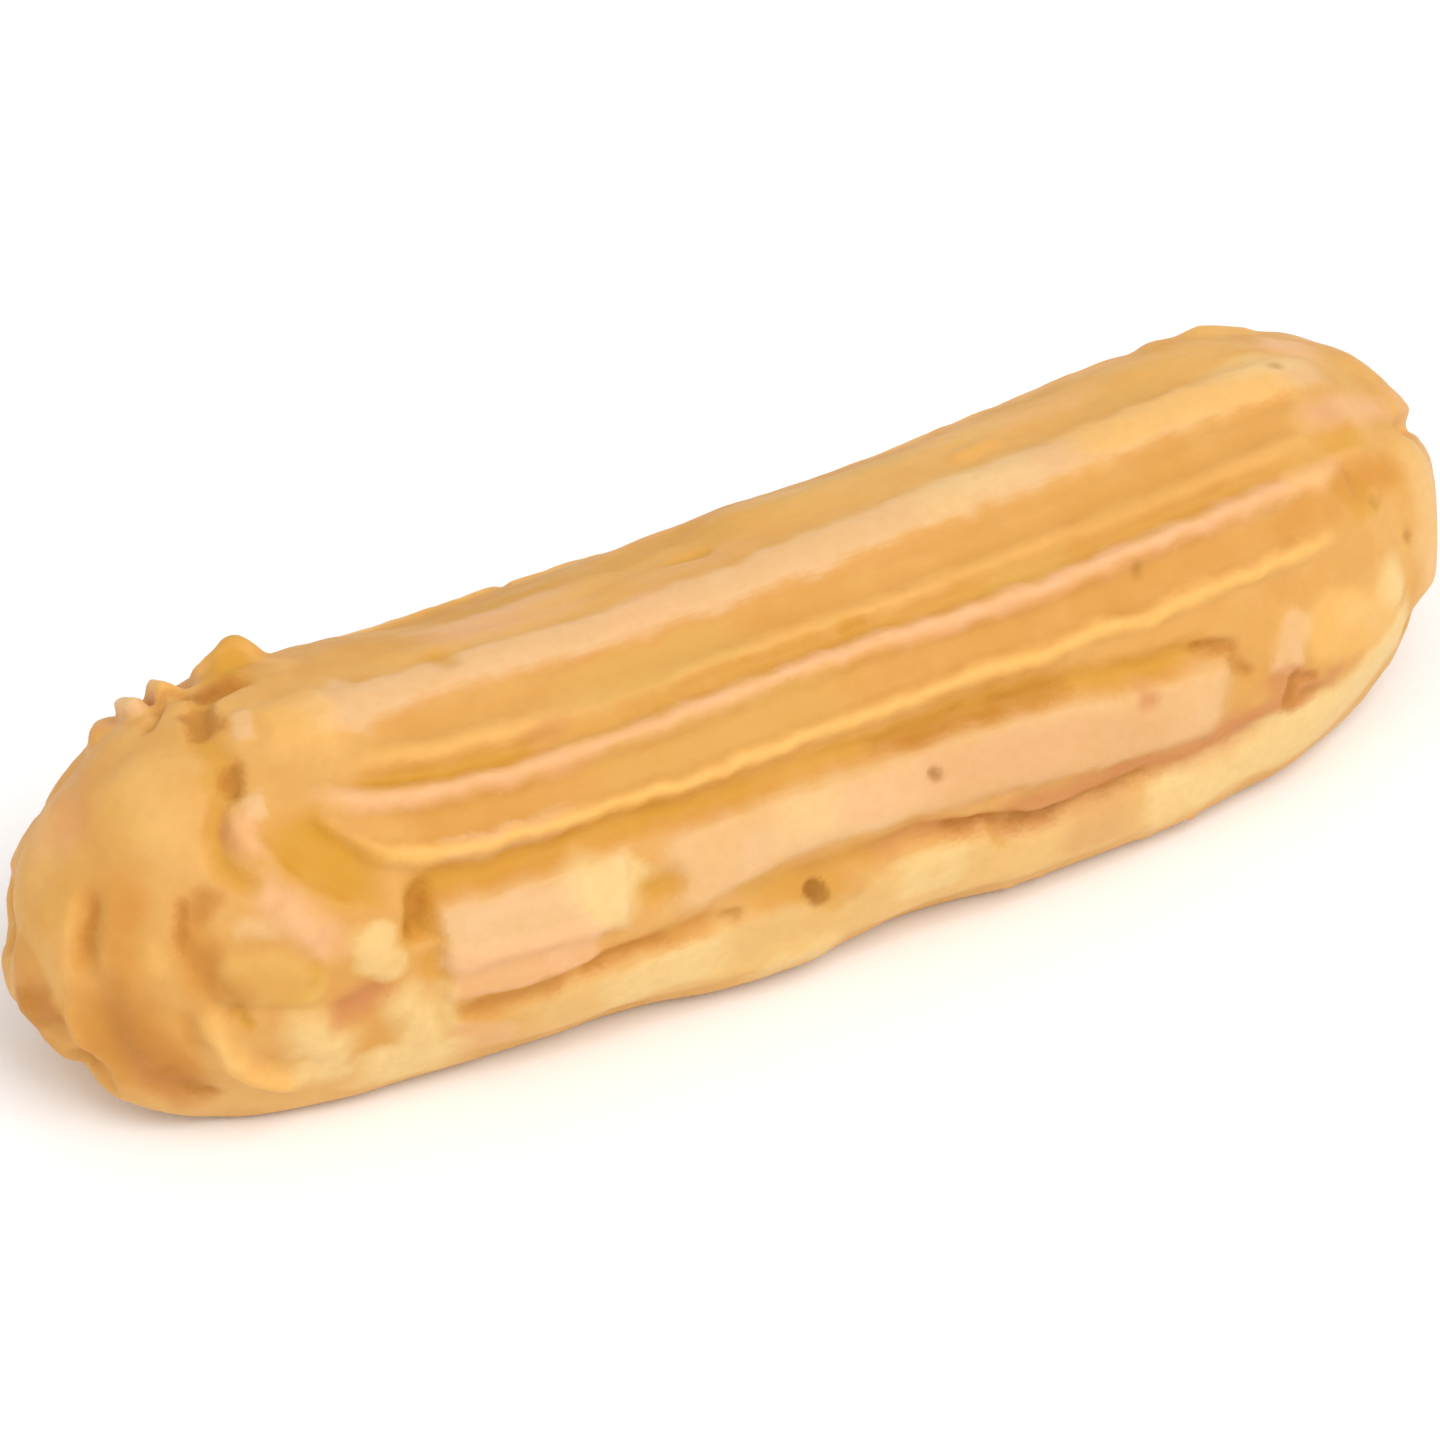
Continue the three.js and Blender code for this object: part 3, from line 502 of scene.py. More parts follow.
# %% [markdown]
# ## The folded tail
# When the rope is long enough, the baker lifts the nozzle and folds the last of the dough back over the
# top. It bakes as a smooth tongue with a deep crease in front of it, and with small lumps where the dough
# was pushed together. It could be a second piece, joined on, but on the real one the dough has fused, so it
# stays part of the one skin.
# %% Tongue, crease and lumps
FOLD_TOP = [(-43, 109), (-46, 108), (-49, 105), (-50.5, 98), (-51.5, 88), (-51.3, 80), (-51.5, 72),
            (-53, 63)]
FOLD_SIDE = [(-52, 72), (-53.8, 62), (-55, 55), (-55, 49), (-54, 44), (-52, 38)]
folded_tail = [
    stroke([(-57, 106), (-58, 90), (-58, 72), (-60, 55)], 6.5, 0.9, "honey", 0.25),
    paint([(-57, 86), (-58, 66)], 4.2, "butter", 0.15),
    # The crease in front of the tongue is darkened with ochre and brown: partly browned dough, partly
    # painted shade in the crease.
    stroke(FOLD_TOP, 1.7, -0.8, "ochre", 0.7, 1.1),
    stroke(FOLD_SIDE, 1.4, -0.7, "ochre", 0.75, 1.2),
    slab([(-50.8, 107), (-50.2, 99), (-51, 88)], 1.8, -0.3, "brown", 0.75, taper=1),
    stroke([(-50.6, 78), (-51, 72), (-51.6, 65)], 1.4, -0.35, "brown", 0.9, taper=1),
    paint([(-52.6, 78), (-53, 69)], 1.3, "ochre", 0.6),
    stroke([(-55, 104), (-53.4, 110), (-51.6, 116), (-50, 114), (-49.6, 108)], 0.9, -0.9, "brown", 0.8,
           profile="crease"),
    stroke([(-46, 120), (-43, 126), (-41, 131)], 2.6, 0.7, "ochre", 0.8),
    stroke([(-42.6, 124), (-42.6, 128), (-42.4, 134)], 2.3, 1.7, "honey", 0.7),
    stroke([(-44.8, 123), (-44.6, 129), (-44.6, 134)], 2.0, 1.3, "ochre", 0.7),
    stroke([(-46.4, 122), (-46.4, 132)], 1.4, 0.8, "honey", 0.4),
    stroke([(-45.3, 125), (-45.3, 136)], 0.8, -0.6),
    stroke([(-50.5, 108), (-49.4, 109), (-47.5, 110), (-45.5, 110), (-44, 109)], 1.7, -0.5, "brown", 1.0),
    paint([(-49.5, 109), (-48, 110), (-46.5, 110)], 1.2, "pit", 0.5),
    paint([(-48, 114), (-46, 114), (-44, 113)], 1.6, "ochre", 0.9),
    patch([(-47, 117), (-44, 118)], 1.8, "ochre", 0.9),
    paint([(-42, 121), (-41, 113), (-41, 105)], 1.8, "honey", 0.6),
    stroke([(-48.9, 115), (-48.8, 124), (-48.6, 142)], 1.8, -1.6, "pink", 0.5),
    stroke([(-50.7, 119), (-50.3, 129)], 1.9, 1.4, "honey", 0.7),
    slab([(-53.4, 121), (-53.2, 129)], 1.3, 1.5, "cream", 1.0, 1.3),
    stroke([(-56.2, 130), (-55.4, 136)], 2.2, 1.1, "rust", 0.3),
    stroke([(-59, 133), (-61, 141)], 3.2, -0.7),
    stroke([(-52.2, 117), (-52, 134)], 1.2, -1.5, "toast_and_shade", 0.4),
    stroke([(-57, 114), (-60, 110), (-63, 106)], 4.0, 0.4),
    paint([(-62, 128), (-62.5, 104)], 1.2, "toast_and_shade", 0.3),
    patch([(-61, 122), (-64, 104), (-66, 84)], 3.8, "pink", 0.3),
    paint([(-57, 124), (-60, 112), (-62.5, 98), (-64, 78)], 4.2, "rust", 0.35),
    paint([(-62.5, 52), (-63.5, 40), (-64, 26)], 3.4, "toast_and_shade", 0.9),
    slab([(-47.4, 94), (-48, 87), (-48.8, 80)], 1.2, 0.35, "cream", 0.75, taper=0.7),
    paint([(-49.4, 96), (-50.4, 82)], 1.0, "toast_and_shade", 0.5),
    slab([(-44, 96), (-43.5, 82), (-45, 68)], 4.0, 0.7, "honey", 0.5),
    stroke([(-51.6, 66), (-52, 60), (-52.4, 54), (-52.2, 46)], 2.1, 1.2, "pink", 0.85),
    slab([(-50.3, 66), (-50.7, 57)], 1.2, 0.4, "cream", 0.9, taper=0.7),
    paint([(-53.2, 63), (-53.6, 56), (-53.6, 49)], 1.1, "rust", 0.5),
    paint([(-52.6, 58), (-53, 51)], 1.8, "toast_and_shade", 0.35),
    slab([(-48.6, 61), (-48.6, 53), (-47.5, 46), (-45.2, 39), (-41, 33)], 2.8, -1.1, "ochre", 1.0, 1.15),
    stroke([(-51.5, 37), (-50.4, 31), (-48.5, 23)], 2.7, 0.9, "pink", 0.9, 1.2, taper=1.5),
    stroke([(-44.8, 19), (-43.9, 14.5)], 2.8, 0.6, "butter", 0.6),
    patch([(-45, 18.5), (-43.8, 20)], 2.0, "butter", 0.75),
    patch([(-44.8, 14), (-43.2, 12)], 2.1, "butter", 0.75),
    stroke([(-56, 31), (-54, 31), (-51.5, 28)], 1.2, 0.25, "cream", 0.6, taper=1),
    slab([(-56, 17), (-53.5, 16), (-51, 12)], 2.8, 0.45, "straw", 0.9),
    paint([(-55, 17), (-52, 14)], 2.6, "toast_and_shade", 0.4),
    paint([(-54, 10), (-50, 7)], 1.6, "ochre", 0.4),
    stroke([(-50.6, 21), (-49.6, 14), (-51, 8)], 1.1, -0.5, "ochre", 0.6),
    stroke([(-57, 48), (-58, 40), (-58.8, 30), (-58.6, 20), (-56.6, 10)], 2.3, -0.35, "toast_and_shade", 1.0, 1.2),
    stroke([(-58.2, 47), (-59, 41), (-59.3, 35), (-59.2, 26)], 1.1, -0.4, "brown", 0.8),
    paint([(-56.8, 43), (-57.2, 40)], 1.9, "brown", 0.75),
    paint([(-58, 26), (-57.4, 20), (-56, 12)], 2.4, "brown", 0.65),
    stroke([(-60, 12), (-60, 2), (-59.6, -11)], 1.3, -0.35, "toast_and_shade", 0.6),
    stroke([(-61.2, 40), (-61.6, 30), (-62, 20)], 1.4, 0.15, "honey", 0.4),
    stroke([(-47.4, 1), (-46, 2), (-44.8, 4)], 2.1, -0.6, "rust", 0.95, 1.2, taper=1),
    stroke([(-54, 1), (-51, -5), (-49, -14), (-45, -20)], 3.0, 0.5, "butter", 0.9, 1.2),
    stroke([(-42, -3), (-40, -20)], 2.8, 0.3, "butter", 0.9, 1.3),
    paint([(-53, -22), (-50, -28), (-45, -34)], 3.0, "butter", 0.9),
    stroke([(-57, 12), (-58, 4), (-57.2, -8), (-56, -20), (-53.5, -30), (-50, -38)], 1.8, 1.0, "honey", 0.9),
    paint([(-58, 5), (-57.2, -8), (-56, -18)], 1.0, "butter", 0.3),
    paint([(-53, -9), (-50, -16), (-47, -20)], 2.8, "butter", 0.8),
    stroke([(-56, 12), (-56, 6), (-55.4, -2)], 1.0, -0.5, "ochre", 0.75),
    stroke([(-54.8, -11), (-53, -19), (-49, -24)], 0.9, -0.2, "ochre", 0.1),
    patch([(-52, -18), (-49, -24), (-46, -28)], 2.4, "butter", 0.9),
    stroke([(-61.6, -31), (-59.6, -36), (-57, -42)], 1.9, -0.5, "brown", 0.95),
    paint([(-63, -22), (-61.6, -34), (-60, -42)], 3.0, "rust", 0.4),
    # The end of the tail is painted darker with toast and brown: partly its own browning, partly painted
    # shade on the side that faces away from the key light.
    patch([(-64, 30), (-65, 5), (-63, -20), (-60, -48)], 5.4, "toast_and_shade", 1.0),
    paint([(-64, 34), (-64, 12), (-63.5, -8), (-61, -34)], 5.0, "brown", 0.65),
    paint([(-63, -10), (-61.5, -26), (-58, -42)], 4.0, "brown", 0.85),
]
print("tail:", len(folded_tail), "strokes")

# %% [markdown]
# ## Lobes round the end
# Round the very end the nozzle's teeth left upright lobes, like the segments of a pumpkin, with a crease
# between each two. The outline of the tail shows them as soft notches.
# %% Creases and lobes of the tail
lobe_creases = [
    [(-63.5, 70), (-65, 55), (-66, 42), (-66.3, 30), (-66.2, 16)],
    [(-63.5, 168), (-65, 182), (-66, 200), (-65.5, 230)],
    [(-61.5, 142), (-62, 155), (-62.5, 175), (-62, 220)],
    [(-54, 148), (-56, 165), (-57, 185), (-56, 215)],
]
lobes = [
    [(-62.5, 50), (-63.5, 25), (-63, -10), (-62, -40)],
    [(-67, 62), (-67.2, 25), (-66.8, -15), (-66, -45)],
    [(-64, 132), (-66, 158), (-66, 215)],
    [(-57, 145), (-60, 165), (-60, 215)],
]
# The creases between the lobes are shallow, and their toast, ochre and brown are partly browned dough and
# partly painted shade in the creases and on the end of the tail.
tail_lobes = [stroke(path, 2.0, -0.75, "toast_and_shade", 0.9, taper=8) for path in lobe_creases]
tail_lobes += [stroke(path, 3.0, 0.4, "honey", 0.2, taper=8) for path in lobes]
tail_lobes += [
    stroke([(-64.2, 63), (-65.3, 52), (-66, 40), (-66, 32)], 1.2, -0.25, "brown", 0.6),
    stroke([(-66.2, 22), (-66, 0), (-65, -25), (-64.5, -58)], 2.4, -0.35, "ochre", 0.3),
    stroke([(-68.1, 20), (-68.1, 4), (-67.5, -20), (-66.8, -34)], 1.0, -0.4, "honey", 0.6),
    stroke([(-66.8, -38), (-66.4, -58)], 1.4, -0.4, "ochre", 0.3),
    stroke([(-67, 148), (-68.2, 157), (-69, 170), (-69.4, 195)], 3.2, -0.9, "toast_and_shade", 0.3, taper=1.5),
    stroke([(-66.6, 164), (-67.3, 173), (-67.6, 182)], 2.4, -0.9, "toast_and_shade", 0.3, taper=1),
    paint([(-65, 60), (-67, 72), (-68.6, 86)], 3.4, "ochre", 0.3),
    paint([(-69, 30), (-69, 10), (-68.6, -12), (-67.6, -40)], 2.0, "brown", 0.6),
    stroke([(-69.4, -40), (-68.8, -52), (-68, -60)], 2.8, 1.3, "brown", 0.4),
    stroke([(-67.2, -48), (-66.6, -60)], 1.1, -0.7, "brown", 0.4),
    stroke([(-66, -50), (-65, -62)], 1.5, -0.8, "toast_and_shade", 0.5),
    stroke([(-69.3, 132), (-69.8, 165)], 3.2, -0.7),
    stroke([(-65.5, 70), (-66.4, 58), (-67, 46)], 1.3, 0.2, "honey", 0.4),
    stroke([(-67.6, 20), (-67.4, -6), (-66.4, -34)], 1.2, 0.4, "honey", 0.6),
    stroke([(-67.6, 152), (-69, 142)], 3.5, -0.9),
    stroke([(-63.5, 118), (-66, 112)], 4.0, 0.5),
    patch([(-69.5, 36), (-69.2, -6), (-68.2, -40)], 3.2, "brown", 0.8),
    paint([(-69, 8), (-68.8, -10)], 2.0, "rust", 0.5),
    patch([(-69.5, 60), (-69.5, 20)], 3.0, "toast_and_shade", 0.6),
]
print("lobes:", len(tail_lobes), "strokes")

# %% [markdown]
# ## The nose
# Here the baker started. The first dough out of the nozzle is one smooth round lobe, and a shallow crease
# parts it from the ridges. It is paler than they are, partly because it stood lower in the oven's heat,
# and partly by painted light: cream and butter lift the shade of the lobe, which faces away from the lamps.
# %% Nose lobe, its crease and the blisters beside it
nose = [
    stroke([(70, 63), (67, 58.5), (64, 55)], 1.3, -0.95, "honey", 0.5),
    stroke([(66, 70), (67.5, 66)], 2.6, 0.8, "pink", 0.5),
    stroke([(62.5, 52), (61, 42), (60, 30), (59.8, 17), (60.3, 4), (61, -8)], 1.9, -0.25, "honey", 0.3),
    stroke([(65.5, -31), (63.5, -32.5), (61, -31)], 1.5, -1.1, "pink", 0.5, taper=1.5),
    stroke([(65, 98), (67, 86)], 4.0, 0.6),
    stroke([(66, 54), (64.8, 36), (64.2, 10), (64.2, -10), (63.8, -29)], 4.4, 1.05, "butter", 0.4, taper=3),
    stroke([(67.5, 50), (68.5, 20), (66.5, -22)], 4.5, 0.6, taper=3),
    patch([(64, 52), (65, 26), (64, 6), (63.5, -10)], 4.0, "cream", 0.4),
    paint([(67, 56), (67.5, 36), (66.5, 14), (65, -14)], 4.8, "cream", 0.8),
    paint([(63, 12), (63.5, 0), (63, -14)], 2.4, "pink", 0.6),
    stroke([(55, 46.5), (58, 46), (60.5, 45)], 2.7, -0.8, "toast_and_shade", 1.0, 1.2),
    patch([(54, 41), (59, 40)], 2.2, "ochre", 0.55),
    paint([(41, 30), (53, 27)], 2.6, "toast_and_shade", 0.45),
    patch([(58.5, 41), (57.5, 38)], 0.8, "honey", 1.0),
    stroke([(57.8, 14), (58, 8)], 2.4, 0.2, "butter", 0.95, 1.3),
    slab([(45.8, 18), (44.8, 14), (44.4, 10.5)], 2.4, 0.4, "cream", 0.75, taper=1),
    paint([(43.4, 15), (44.6, 11)], 1.8, "cream", 0.5),
    patch([(50, 13), (55, 6), (56, -3)], 4.2, "honey", 0.7),
    paint([(49, 15), (53, 12), (56, 4), (56, -8)], 2.6, "butter", 0.3),
    patch([(53, 61), (57, 60), (60, 58)], 1.4, "ochre", 0.6),
    paint([(52, 69), (58, 69.5), (66, 67)], 2.8, "pink", 0.75),
    paint([(54, 69), (60, 69)], 2.6, "rust", 0.25),
    patch([(56, 112), (59, 104), (62, 95)], 2.6, "pink", 0.9),
    stroke([(54, 126), (57, 123)], 2.4, 0.5, "honey", 0.6),
    stroke([(66, 118), (62, 140), (60, 160), (63, 190)], 2, -0.7, "toast_and_shade", 0.4),
    slab([(62, -16), (57, -22), (50, -25), (42, -27), (34, -31), (28, -34)], 4.6, 0, "butter", 1.0, taper=3),
]
print("nose:", len(nose), "strokes")

# %% [markdown]
# ## Low side, pits and blisters
# Below the split the dough is pale and butter yellow, partly because it lay against the tray and saw little
# heat, and partly by painted light that lifts the shade low on the curve. Elsewhere small bubbles broke
# through the crust and left pits about a millimetre wide; their dark tint is partly darker dough and partly
# painted shade inside them.
# %% Base band, pits and crumbs
base_band = [
    slab([(-36, -26), (-10, -27), (12, -26), (34, -28)], 4.8, 0.5, "butter", 0.5),
    patch([(-28, -28), (-18, -26), (-8, -24)], 3.8, "butter", 0.95),
    stroke([(-12, -40), (-5, -44), (2, -36)], 4.0, 0.3, "butter", 1.0),
    patch([(1, -18), (8, -20), (14, -24)], 3.4, "butter", 0.95),
    patch([(19, -26), (25, -28), (30, -28)], 3.4, "rust", 0.35),
    patch([(-37, -28), (-34, -34)], 2.6, "pink", 0.6),
    patch([(-28, 14), (-25, 18), (-22, 13), (-20, 6)], 3.6, "butter", 0.95),
    stroke([(24, 104), (27, 105)], 1.8, 0.5, "honey", 0.6),
    patch([(-16, 104), (-4, 107), (8, 107)], 3.6, "honey", 0.5),
    stroke([(-27.5, 59), (-24.5, 59.5), (-21.5, 60.5)], 1.5, 0, "rust", 0.4),
    stroke([(-29.5, 93), (-29, 88)], 1.8, -0.35, "ochre", 0.7),
    stroke([(5, 61.5), (6, 60)], 1.6, -0.3, "ochre", 0.9),
    stroke([(-4.5, 104), (-2.5, 103)], 1.6, -0.4, "ochre", 0.7),
    stroke([(-20, 30), (-17.5, 30.5), (-15, 31)], 1.5, -0.15, "ochre", 1.0, 1.3),
    stroke([(29.2, 17), (29.8, 16)], 1.6, -0.35, "rust", 0.8),
]
pits = [(8, 17.5), (-15, 150), (12, 140), (-28, 160), (33, 165), (46, 138), (-14, 178)]
soft_pits = [(55, 91), (61, 20), (58, 38), (32, 49)]
base_band += [stroke([place], 0.85, -0.5, "pit", 0.8, 1.2) for place in pits]
base_band += [stroke([place], 1.2, -0.25, "pit", 0.5) for place in soft_pits]
crumbs = [(17, -61), (20, -62), (31, -62), (36, -58), (-19, -55), (5, 243), (-24, 246), (28, 247)]
base_band += [stroke([place], 0.8, 0.35, "rust", 0.8) for place in crumbs]
print("base, pits and crumbs:", len(base_band), "strokes")

# %% [markdown]
# ## Pressing the strokes into the skin
# The rises of all strokes are added up, with a slow unevenness of hand-piped dough, and the skin moves by
# that much along its own normals. Close to the tray the relief dies out, so that the foot stays flat. Where
# soft dough spread over the tray, the foot moves outwards but stays level.
# %% Move the skin
FADE_ABOVE_TRAY = 2.4
foot_spread = [
    stroke([(-69, -78), (-67, -74)], 4.5, -1.2),
    stroke([(-64, -78), (-61, -70)], 5, 0.9),
    stroke([(-38, -66), (-26, -66)], 8, -0.5),
    stroke([(7, -66), (12, -66)], 6, -0.8),
    stroke([(-12, -66), (-5, -66)], 7, 1.2),
    stroke([(-21, -66), (-16, -66)], 6, -0.6),
    stroke([(52, -60), (56, -40)], 7, -0.7),
    stroke([(18, -66), (32, -66)], 11, 1.4),
    stroke([(-36, 250), (-24, 250)], 10, 1.2),
    stroke([(6, 250), (16, 250)], 9, 0.9),
    stroke([(36, 250)], 10, 1.1),
]
all_strokes = near_ridges + far_ridges + baking_split + folded_tail + tail_lobes + nose + base_band


def unevenness(points):
    """Slow unevenness of hand-piped dough, in mm."""
    x, y, z = points.T
    long = 0.18 * np.sin(x / 11 + y / 7)
    middling = 0.15 * np.sin(x / 6.3 - z / 5 + 1.7)
    short = 0.12 * np.sin(y / 3.9 + x / 17)
    return long + middling + short


def mesh_normals(piece):
    """The normal at each point of a piece's mesh."""
    flat = np.empty(len(piece.data.vertices) * 3)
    piece.data.vertex_normals.foreach_get("vector", flat)
    return flat.reshape(-1, 3)


def total_rise(strokes, points):
    """The sum of what the strokes lift each point by, in mm."""
    return sum(mark["rise"] * weight(mark, points, mark["half"]) for mark in strokes)


normals = mesh_normals(shell)
level = normals * [1, 1, 0]
above_tray = ease(skin[:, 2:] / FADE_ABOVE_TRAY)
relief = total_rise(all_strokes, wandering)
lift = (relief + unevenness(skin))[:, None] * above_tray
spread_out = total_rise(foot_spread, skin)[:, None]
moved = skin + normals * lift + level * spread_out
moved[:, 2] = np.maximum(moved[:, 2], 0)
set_mesh_points(shell, moved)
print("relief from", round(float(lift.min()), 2), "to", round(float(lift.max()), 2), "mm")

# %% [markdown]
# ## Tints of the oven
# The colour follows the shape, with light and shade painted into it: crests are pale, partly their own crust
# and partly painted highlight; grooves are ochre and cracks brown, partly darker dough and partly painted
# shade; and the low side is butter yellow, partly its own colour and partly painted light. The tints of the
# strokes are gathered as one number for each point and tint, kept in the mesh, and the material reads them.
# Painting an image by hand would do too, but this follows the relief exactly.
# %% Gather the tints
TINTS = ["cream", "pink", "honey", "butter", "straw", "toast_and_shade", "ochre", "rust", "brown", "pit"]
TINT_WANDER = 0.6
TINT_WANDER_SIZE = 2.6
FULL_CREST = 1.3
FULL_HOLLOW = 1.8
LOW_SIDE = 9
tint_points = wandering + TINT_WANDER * noise_vectors(skin, TINT_WANDER_SIZE, shift=5.0)


def keep_on_mesh(name, values):
    """Keeps one number for each point of the skin, under this name."""
    kept = shell.data.attributes.new(name, "FLOAT", "POINT")
    kept.data.foreach_set("value", np.clip(values, 0, 1).astype(np.float32))


for tint in TINTS:
    left = np.zeros(len(skin))
    for mark in all_strokes:
        if mark["tint"] == tint:
            painted = mark["amount"] * weight(mark, tint_points, mark["half"] * mark["spread"])
            left = np.maximum(left, painted)
    keep_on_mesh(tint, left)
# The relief itself is kept as well, for light painted into the colour: crest for a painted highlight on the
# ridges, hollow for painted shade in the grooves, and low for a paler low side, partly its own colour and
# partly painted light.
keep_on_mesh("crest", relief / FULL_CREST)
keep_on_mesh("hollow", -relief / FULL_HOLLOW)
keep_on_mesh("low", 1 - moved[:, 2] / LOW_SIDE)
print("tints:", ", ".join(TINTS), "and the relief itself")

# %% [markdown]
# ## A fresh skin
# Deep strokes stretched the squares on their walls, and a few of them cut into each other. A second remesh
# gives even squares again and carries the tints over; a light smoothing rounds what the voxels left sharp.
# %% Remesh again, keeping the tints
shell.data.use_remesh_preserve_attributes = True
remesh(smooth_steps=5)
print("fresh skin:", len(shell.data.vertices), "points,", 2 * len(shell.data.polygons), "triangles")

# %% [markdown]
# ## Fine wrinkles
# The crust of choux is not smooth: as it dries it shrinks into fine, soft wrinkles. Two Displace modifiers
# with cloud textures do that on the mesh itself, so that they also show in the outline. The foot is left
# out by a vertex group, because it was baked flat on the tray.
# %% Wrinkle the crust
FOOT_HEIGHT = 0.6
FOOT_FADE = 2
GROUP_STEPS = 10
crust_group = shell.vertex_groups.new(name="crust")
share_of_crust = ease((mesh_points(shell)[:, 2] - FOOT_HEIGHT) / FOOT_FADE)
for step in range(GROUP_STEPS + 1):
    chosen = np.flatnonzero(np.rint(share_of_crust * GROUP_STEPS) == step)
    crust_group.add(chosen.tolist(), step / GROUP_STEPS, "REPLACE")


def wrinkle(name, size, strength):
    """Displaces the crust by soft clouds; size and strength are in mm."""
    clouds = bpy.data.textures.new(name, "CLOUDS")
    clouds.noise_scale = size * MM
    clouds.noise_depth = 1
    displace = shell.modifiers.new(name, "DISPLACE")
    displace.texture = clouds
    displace.texture_coords = "LOCAL"
    displace.vertex_group = crust_group.name
    displace.mid_level = 0.5
    displace.strength = strength * MM
    bpy.ops.object.modifier_apply(modifier=name)
    print(name, size, "mm wide,", strength, "mm high")


leave_selection()
shell.select_set(True)
bpy.context.view_layer.objects.active = shell
wrinkle("soft_dents", 4.5, 0.3)
wrinkle("fine_wrinkles", 1.6, 0.12)

# %% [markdown]
# ## Thinning out
# The fine skin has far more triangles than its smooth parts need. A Decimate modifier takes them away where
# the skin is nearly flat and leaves them in the creases.
# %% Fewer triangles
MOST_TRIANGLES = 196000
thin_out = shell.modifiers.new("thin_out", "DECIMATE")
thin_out.ratio = MOST_TRIANGLES / (2 * len(shell.data.polygons))
thin_out.use_collapse_triangulate = True
bpy.ops.object.modifier_apply(modifier=thin_out.name)
print("thinned:", len(shell.data.polygons), "triangles")

# %% [markdown]
# ## Into the frame
# The piece is centred by its own box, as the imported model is, and shaded smooth.
# %% Centre the piece
finished = mesh_points(shell)
finished[:, 2] = np.maximum(finished[:, 2], 0)
middle = (finished.min(0) + finished.max(0)) / 2
middle[2] = finished[:, 2].min()
set_mesh_points(shell, finished - middle)
bpy.ops.object.shade_smooth()
print("middle was at", np.round(middle, 2), "size now", np.round(np.ptp(finished, axis=0), 2))

# %% [markdown]
# ## Shader maths in plain expressions
# A material is a network of nodes. So that its sums can be read as sums, one small class wraps an output
# socket and turns + and * into Math nodes; colours are mixed by their own node.
# %% Wires and finishes


class Wire:
    """An output socket that can be used in sums."""

    def __init__(self, finish, socket):
        self.finish = finish
        self.socket = socket

    def maths(self, operation, other):
        return self.finish.node("ShaderNodeMath", {"operation": operation}, {0: self, 1: other})

    def __add__(self, other):
        return self.maths("ADD", other)

    def __mul__(self, other):
        return self.maths("MULTIPLY", other)

    __radd__ = __add__


class Finish:
    """A material in the making: it adds nodes and gives their outputs as wires."""

    def __init__(self, name):
        self.material = bpy.data.materials.new(name)
        self.material.use_nodes = True
        self.nodes = self.material.node_tree.nodes
        self.links = self.material.node_tree.links
        self.shader = self.nodes["Principled BSDF"]

    def put(self, value, socket):
        if isinstance(value, Wire):
            self.links.new(value.socket, socket)
        else:
            socket.default_value = value

    def node(self, kind, settings=None, inputs=None, output=0):
        made = self.nodes.new(kind)
        for key, value in (settings or {}).items():
            setattr(made, key, value)
        for key, value in (inputs or {}).items():
            self.put(value, made.inputs[key])
        return Wire(self, made.outputs[output])

    def kept(self, name):
        """A number that was kept on the mesh."""
        return self.node("ShaderNodeAttribute", {"attribute_name": name}, output="Fac")

    def clouds(self, place, size, detail=2.0, rough=0.5):
        """Soft noise from 0 to 1; size is that of its lumps, in mm."""
        inputs = {"Vector": place, "Scale": 1 / (size * MM), "Detail": detail, "Roughness": rough}
        return self.node("ShaderNodeTexNoise", {"noise_dimensions": "3D"}, inputs, "Fac")

    def remap(self, value, low, high):
        """A soft step from 0 to 1, while the value goes from low to high."""
        settings = {"interpolation_type": "SMOOTHSTEP", "clamp": True}
        return self.node("ShaderNodeMapRange", settings, {0: value, 1: low, 2: high, 3: 0.0, 4: 1.0})

    def mix(self, first, second, share):
        """The first colour with a share of the second."""
        settings = {"data_type": "RGBA", "blend_type": "MIX", "clamp_factor": True}
        return self.node("ShaderNodeMix", settings, {0: share, 6: first, 7: second}, 2)

    def set(self, **values):
        """Sets inputs of the shader itself."""
        for name, value in values.items():
            self.put(value, self.shader.inputs[name.replace("_", " ")])


def tone(red, green, blue):
    """A colour as it is seen on a screen, from 0 to 255, turned into light."""
    seen = np.array([red, green, blue]) / 255
    light = np.where(seen <= 0.04045, seen / 12.92, ((seen + 0.055) / 1.055) ** 2.4)
    return (*light.tolist(), 1.0)


print("a middle crust gold is", np.round(tone(236, 178, 106)[:3], 3))

# %% [markdown]
# ## The crust
# Baked choux is matte with a faint satin sheen, and never one colour: gold all over, mottled in patches of
# a centimetre and flecks of a millimetre, and tinted as the strokes say. Dough lets light in a little,
# which softens the shade in its grooves, so the shader gets a small, constant share of subsurface
# scattering.
# %% Choux crust material
crust = Finish("choux_crust")
place = crust.node("ShaderNodeTexCoord", output="Object")
patches = crust.remap(crust.clouds(place, 13, 2), 0.34, 0.66)
mottle = crust.remap(crust.clouds(place, 4.2, 3, 0.6), 0.3, 0.7)
flecks = crust.remap(crust.clouds(place, 1.1, 2), 0.35, 0.75)
speckle = crust.clouds(place, 0.45, 2)

GOLD = tone(212, 156, 79)
LIGHT_GOLD = tone(220, 167, 94)
TANNED = tone(204, 144, 75)
